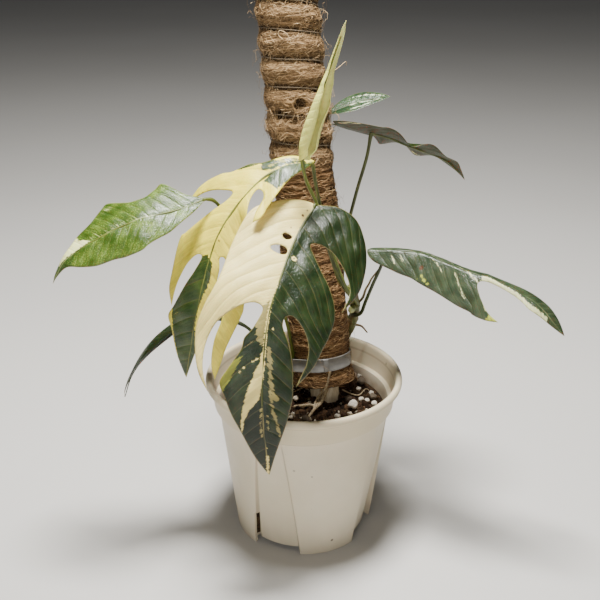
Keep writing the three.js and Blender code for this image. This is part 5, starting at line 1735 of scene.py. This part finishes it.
class PLANT_PG_mix(bpy.types.PropertyGroup):
    crumbs: FloatProperty(
        name="Peat crumbs", description="Crumbs for each square metre of potting mix",
        default=112000.0, min=0.0, unit="NONE", subtype="NONE")
    bark: FloatProperty(
        name="Bark", description="Bark chips for each square metre of potting mix",
        default=14000.0, min=0.0, unit="NONE", subtype="NONE")
    perlite: FloatProperty(
        name="Perlite", description="Perlite grains for each square metre of potting mix",
        default=7500.0, min=0.0, unit="NONE", subtype="NONE")
    seed: IntProperty(name="Seed", description="Changes how the crumbs lie", default=7, subtype="UNSIGNED")


class PLANT_PG_stage(bpy.types.PropertyGroup):
    top_light: FloatProperty(
        name="Top light", description="Power of the lamp over the plant",
        default=68.0, min=0.0, unit="POWER", subtype="POWER")
    front_light: FloatProperty(
        name="Front light", description="Power of the large soft lamp in front",
        default=17.0, min=0.0, unit="POWER", subtype="POWER")
    room_light: FloatProperty(
        name="Room light", description="Strength of the even light all round",
        default=0.05, min=0.0, unit="NONE", subtype="FACTOR")
    floor_depth: FloatProperty(
        name="Floor depth", description="Depth of the studio floor",
        default=12.0, min=1.0, unit="LENGTH", subtype="DISTANCE")


class PLANT_PG_settings(bpy.types.PropertyGroup):
    leaves: PointerProperty(name="Leaves", description="How the leaves are made", type=PLANT_PG_leaves)
    pole: PointerProperty(name="Pole", description="How the coir pole is made", type=PLANT_PG_pole)
    mix: PointerProperty(name="Potting mix", description="How the potting mix is made", type=PLANT_PG_mix)
    stage: PointerProperty(name="Stage", description="How the floor and lamps are made", type=PLANT_PG_stage)


# One operator makes each piece, or each group of like pieces

class PLANT_OT_pot(bpy.types.Operator):
    """Makes the nursery pot with its recesses, slots and drain holes"""

    bl_idname = "plant.make_pot"
    bl_label = "Make the pot"

    def execute(self, context):
        keep(make_pot(pot_paint()), "pot_plastic", "pot")
        return {"FINISHED"}


class PLANT_OT_mix(bpy.types.Operator):
    """Makes the potting mix, its crumbs, bark and perlite, and the roots on it"""

    bl_idname = "plant.make_mix"
    bl_label = "Make the potting mix"

    def execute(self, context):
        settings = context.scene.plant.mix
        peat = peat_paint()
        keep(make_soil_body(peat), "potting_mix", "potting_mix")
        top = soil_top()
        shape = crumb_shape()
        kinds = {
            "peat_crumbs": {
                "Density": settings.crumbs, "Smallest": 0.0005, "Largest": 0.0016, "Flatness": 0.7,
                "Unevenness": 0.0007, "Fineness": 1, "Sink": 0.0, "Material": crumb_paint(
                    "peat_crumb", (0.010, 0.005, 0.002), (0.045, 0.022, 0.010), (0.15, 0.085, 0.042))},
            "bark_chips": {
                "Density": settings.bark, "Smallest": 0.0018, "Largest": 0.0044, "Flatness": 0.6,
                "Unevenness": 0.0024, "Fineness": 2, "Sink": 0.0002, "Material": crumb_paint(
                    "bark_chip", (0.012, 0.006, 0.003), (0.05, 0.024, 0.012), (0.14, 0.075, 0.038))},
            "perlite": {
                "Density": settings.perlite, "Smallest": 0.0007, "Largest": 0.0025, "Flatness": 0.75,
                "Unevenness": 0.0020, "Fineness": 2, "Sink": 0.0003, "Material": crumb_paint(
                    "perlite_grain", (0.40, 0.33, 0.23), (0.66, 0.59, 0.47), (0.84, 0.79, 0.69))},
        }
        for number, (name, values) in enumerate(kinds.items()):
            keep(shape.run(top, name, Seed=settings.seed + number, **values), "potting_mix")
        bpy.data.objects.remove(top)
        keep(make_lumps(crumb_paint(
            "stone", (0.03, 0.015, 0.008), (0.56, 0.47, 0.35), (0.82, 0.76, 0.66))), "potting_mix")
        pale_root = root_paint("soil_root", (0.26, 0.18, 0.09), (0.62, 0.51, 0.34))
        keep(make_surface_roots(pale_root), "potting_mix")
        return {"FINISHED"}


class PLANT_OT_pole(bpy.types.Operator):
    """Makes the stake, the coir round it and its fibres"""

    bl_idname = "plant.make_pole"
    bl_label = "Make the coir pole"

    def execute(self, context):
        settings = context.scene.plant.pole
        keep(make_core(wood_paint()), "stake", "pole_core")
        keep(make_coir(coir_paint()), "coir", "pole_coir")
        tan = fibre_paint("coir_fibre", (0.13, 0.072, 0.030), (0.46, 0.29, 0.135), (0.94, 0.70, 0.40))
        brown = fibre_paint("coir_fibre_low", (0.07, 0.032, 0.011), (0.34, 0.185, 0.075), (0.80, 0.53, 0.26))
        shape = fibre_shape()
        long, thick, strays = settings.fibre_length, settings.fibre_thickness, settings.stray_fibres
        bands = {
            "coir_fibres_high": ((BULGE_START - 4, COIR_TOP - 1), {
                "Density": settings.upper_fibres, "Length": long, "Thickness": thick, "Wander": 0.012,
                "Lift": 0.0013, "Stray": 0.0, "Slant": 0.8, "Knots": 9, "Material": tan}),
            "coir_fibres_low": ((COIR_BOTTOM + 1, BULGE_START - 2), {
                "Density": settings.lower_fibres, "Length": long, "Thickness": thick, "Wander": 0.008,
                "Lift": 0.0012, "Stray": 0.0, "Slant": 0.35, "Knots": 8, "Material": brown}),
            "coir_strays_high": ((BULGE_START, COIR_TOP - 2), {
                "Density": strays, "Length": long * 1.7, "Thickness": thick * 0.7, "Wander": 0.022,
                "Lift": 0.0020, "Stray": 0.0070, "Slant": 1.5, "Knots": 14, "Material": tan}),
            "coir_strays_low": ((COIR_BOTTOM + 1, BULGE_START), {
                "Density": strays, "Length": long * 1.6, "Thickness": thick * 0.7, "Wander": 0.020,
                "Lift": 0.0016, "Stray": 0.0065, "Slant": 1.5, "Knots": 14, "Material": brown}),
            "coir_curls": ((266, 292), {
                "Density": strays * 4, "Length": long, "Thickness": thick * 1.2, "Wander": 0.036,
                "Lift": 0.0036, "Stray": 0.002, "Slant": 1.4, "Knots": 14, "Material": tan}),
        }
        for number, (name, (band, values)) in enumerate(bands.items()):
            patch = coir_patch(*band)
            keep(shape.run(patch, name, Seed=settings.seed + 11 * number, **values), "coir")
            bpy.data.objects.remove(patch)
        keep(make_strands(tan), "coir")
        return {"FINISHED"}


class PLANT_OT_ties(bpy.types.Operator):
    """Makes the twine that binds the coir, and the strap round the pole"""

    bl_idname = "plant.make_ties"
    bl_label = "Make the twine and the strap"

    def execute(self, context):
        keep(make_twine(twine_paint()), "twine", "pole_twine")
        keep(make_strap(strap_paint()), "strap_plastic", "pole_strap")
        return {"FINISHED"}


class PLANT_OT_stem(bpy.types.Operator):
    """Makes the vine with its rings, roots and shoot"""

    bl_idname = "plant.make_stem"
    bl_label = "Make the stem"

    def execute(self, context):
        root = root_paint("aerial_root", (0.12, 0.075, 0.035), (0.30, 0.21, 0.11))
        keep(make_stem(stem_paint(), root), "stem", "stem")
        return {"FINISHED"}


class PLANT_OT_leaves(bpy.types.Operator):
    """Makes the eight leaves, each with its midrib and petiole"""

    bl_idname = "plant.make_leaves"
    bl_label = "Make the leaves"

    def execute(self, context):
        settings = context.scene.plant.leaves
        for name, (blade, petiole) in LEAF_FINISHES.items():
            step = settings.rolled_step if name == ROLLED_LEAF else settings.mesh_step
            short = name.replace("leaf_", "")
            piece = make_leaf(name, step / MM, leaf_paint("blade_" + short, **blade),
                              petiole_paint("petiole_" + short, *petiole))
            keep(piece, name, name)
        return {"FINISHED"}


class PLANT_OT_stage(bpy.types.Operator):
    """Makes the floor, the lamps and the camera"""

    bl_idname = "plant.make_stage"
    bl_label = "Make the stage"

    def execute(self, context):
        settings = context.scene.plant.stage
        half = settings.floor_depth / 2
        mesh = bpy.data.meshes.new("floor")
        corners = [(-half, -half, 0), (half, -half, 0), (half, half, 0), (-half, half, 0)]
        mesh.from_pydata(corners, [], [(0, 1, 2, 3)])
        mesh.materials.append(floor_paint())
        linked("floor", mesh)
        add_lamp("top_lamp", (-0.02, 0.0, 1.6), 0.42, settings.top_light, (1.0, 0.985, 0.955))
        add_lamp("front_lamp", (-0.3, -2.05, 0.74), 1.5, settings.front_light, (1.0, 0.98, 0.95))
        world = bpy.data.worlds.new("room")
        world.use_nodes = True
        background = world.node_tree.nodes["Background"]
        background.inputs["Color"].default_value = (0.96, 0.98, 1.0, 1.0)
        background.inputs["Strength"].default_value = settings.room_light
        context.scene.world = world
        camera = bpy.data.cameras.new("camera")
        camera.lens = CAMERA_LENS
        camera.sensor_width = CAMERA_SENSOR
        viewpoint = linked("camera", camera)
        viewpoint.location = [c * MM for c in CAMERA_PLACE]
        viewpoint.rotation_euler = (math.radians(90 - CAMERA_DOWN), 0, 0)
        context.scene.camera = viewpoint
        return {"FINISHED"}


def add_lamp(name, place, size, power, colour):
    """A round lamp aimed at the middle of the plant."""
    lamp = bpy.data.lights.new(name, "AREA")
    lamp.shape = "DISK"
    lamp.size = size
    lamp.energy = power
    lamp.color = colour
    holder = linked(name, lamp)
    holder.location = place
    holder.rotation_euler = (Vector(LAMP_AIM) - Vector(place)).to_track_quat("-Z", "Y").to_euler()


class PLANT_PT_panel(bpy.types.Panel):
    bl_label = "Plant"
    bl_idname = "PLANT_PT_panel"
    bl_space_type = "VIEW_3D"
    bl_region_type = "UI"
    bl_category = "Plant"

    def draw(self, context):
        settings = context.scene.plant
        for group in (settings.leaves, settings.pole, settings.mix, settings.stage):
            for name in group.__annotations__:
                self.layout.prop(group, name)
        for operator in OPERATORS:
            self.layout.operator(operator.bl_idname)


OPERATORS = (PLANT_OT_pot, PLANT_OT_mix, PLANT_OT_pole, PLANT_OT_ties, PLANT_OT_stem, PLANT_OT_leaves,
             PLANT_OT_stage)
CLASSES = (PLANT_PG_leaves, PLANT_PG_pole, PLANT_PG_mix, PLANT_PG_stage, PLANT_PG_settings, *OPERATORS,
           PLANT_PT_panel)


def register():
    for each in CLASSES:
        bpy.utils.register_class(each)
    bpy.types.Scene.plant = PointerProperty(
        name="Plant", description="Settings of the plant and its stage", type=PLANT_PG_settings)


def unregister():
    del bpy.types.Scene.plant
    for each in reversed(CLASSES):
        bpy.utils.unregister_class(each)


def main():
    register()
    bpy.ops.plant.make_pot()
    bpy.ops.plant.make_mix()
    bpy.ops.plant.make_pole()
    bpy.ops.plant.make_ties()
    bpy.ops.plant.make_stem()
    bpy.ops.plant.make_leaves()
    bpy.ops.plant.make_stage()


if __name__ == "__main__":
    main()
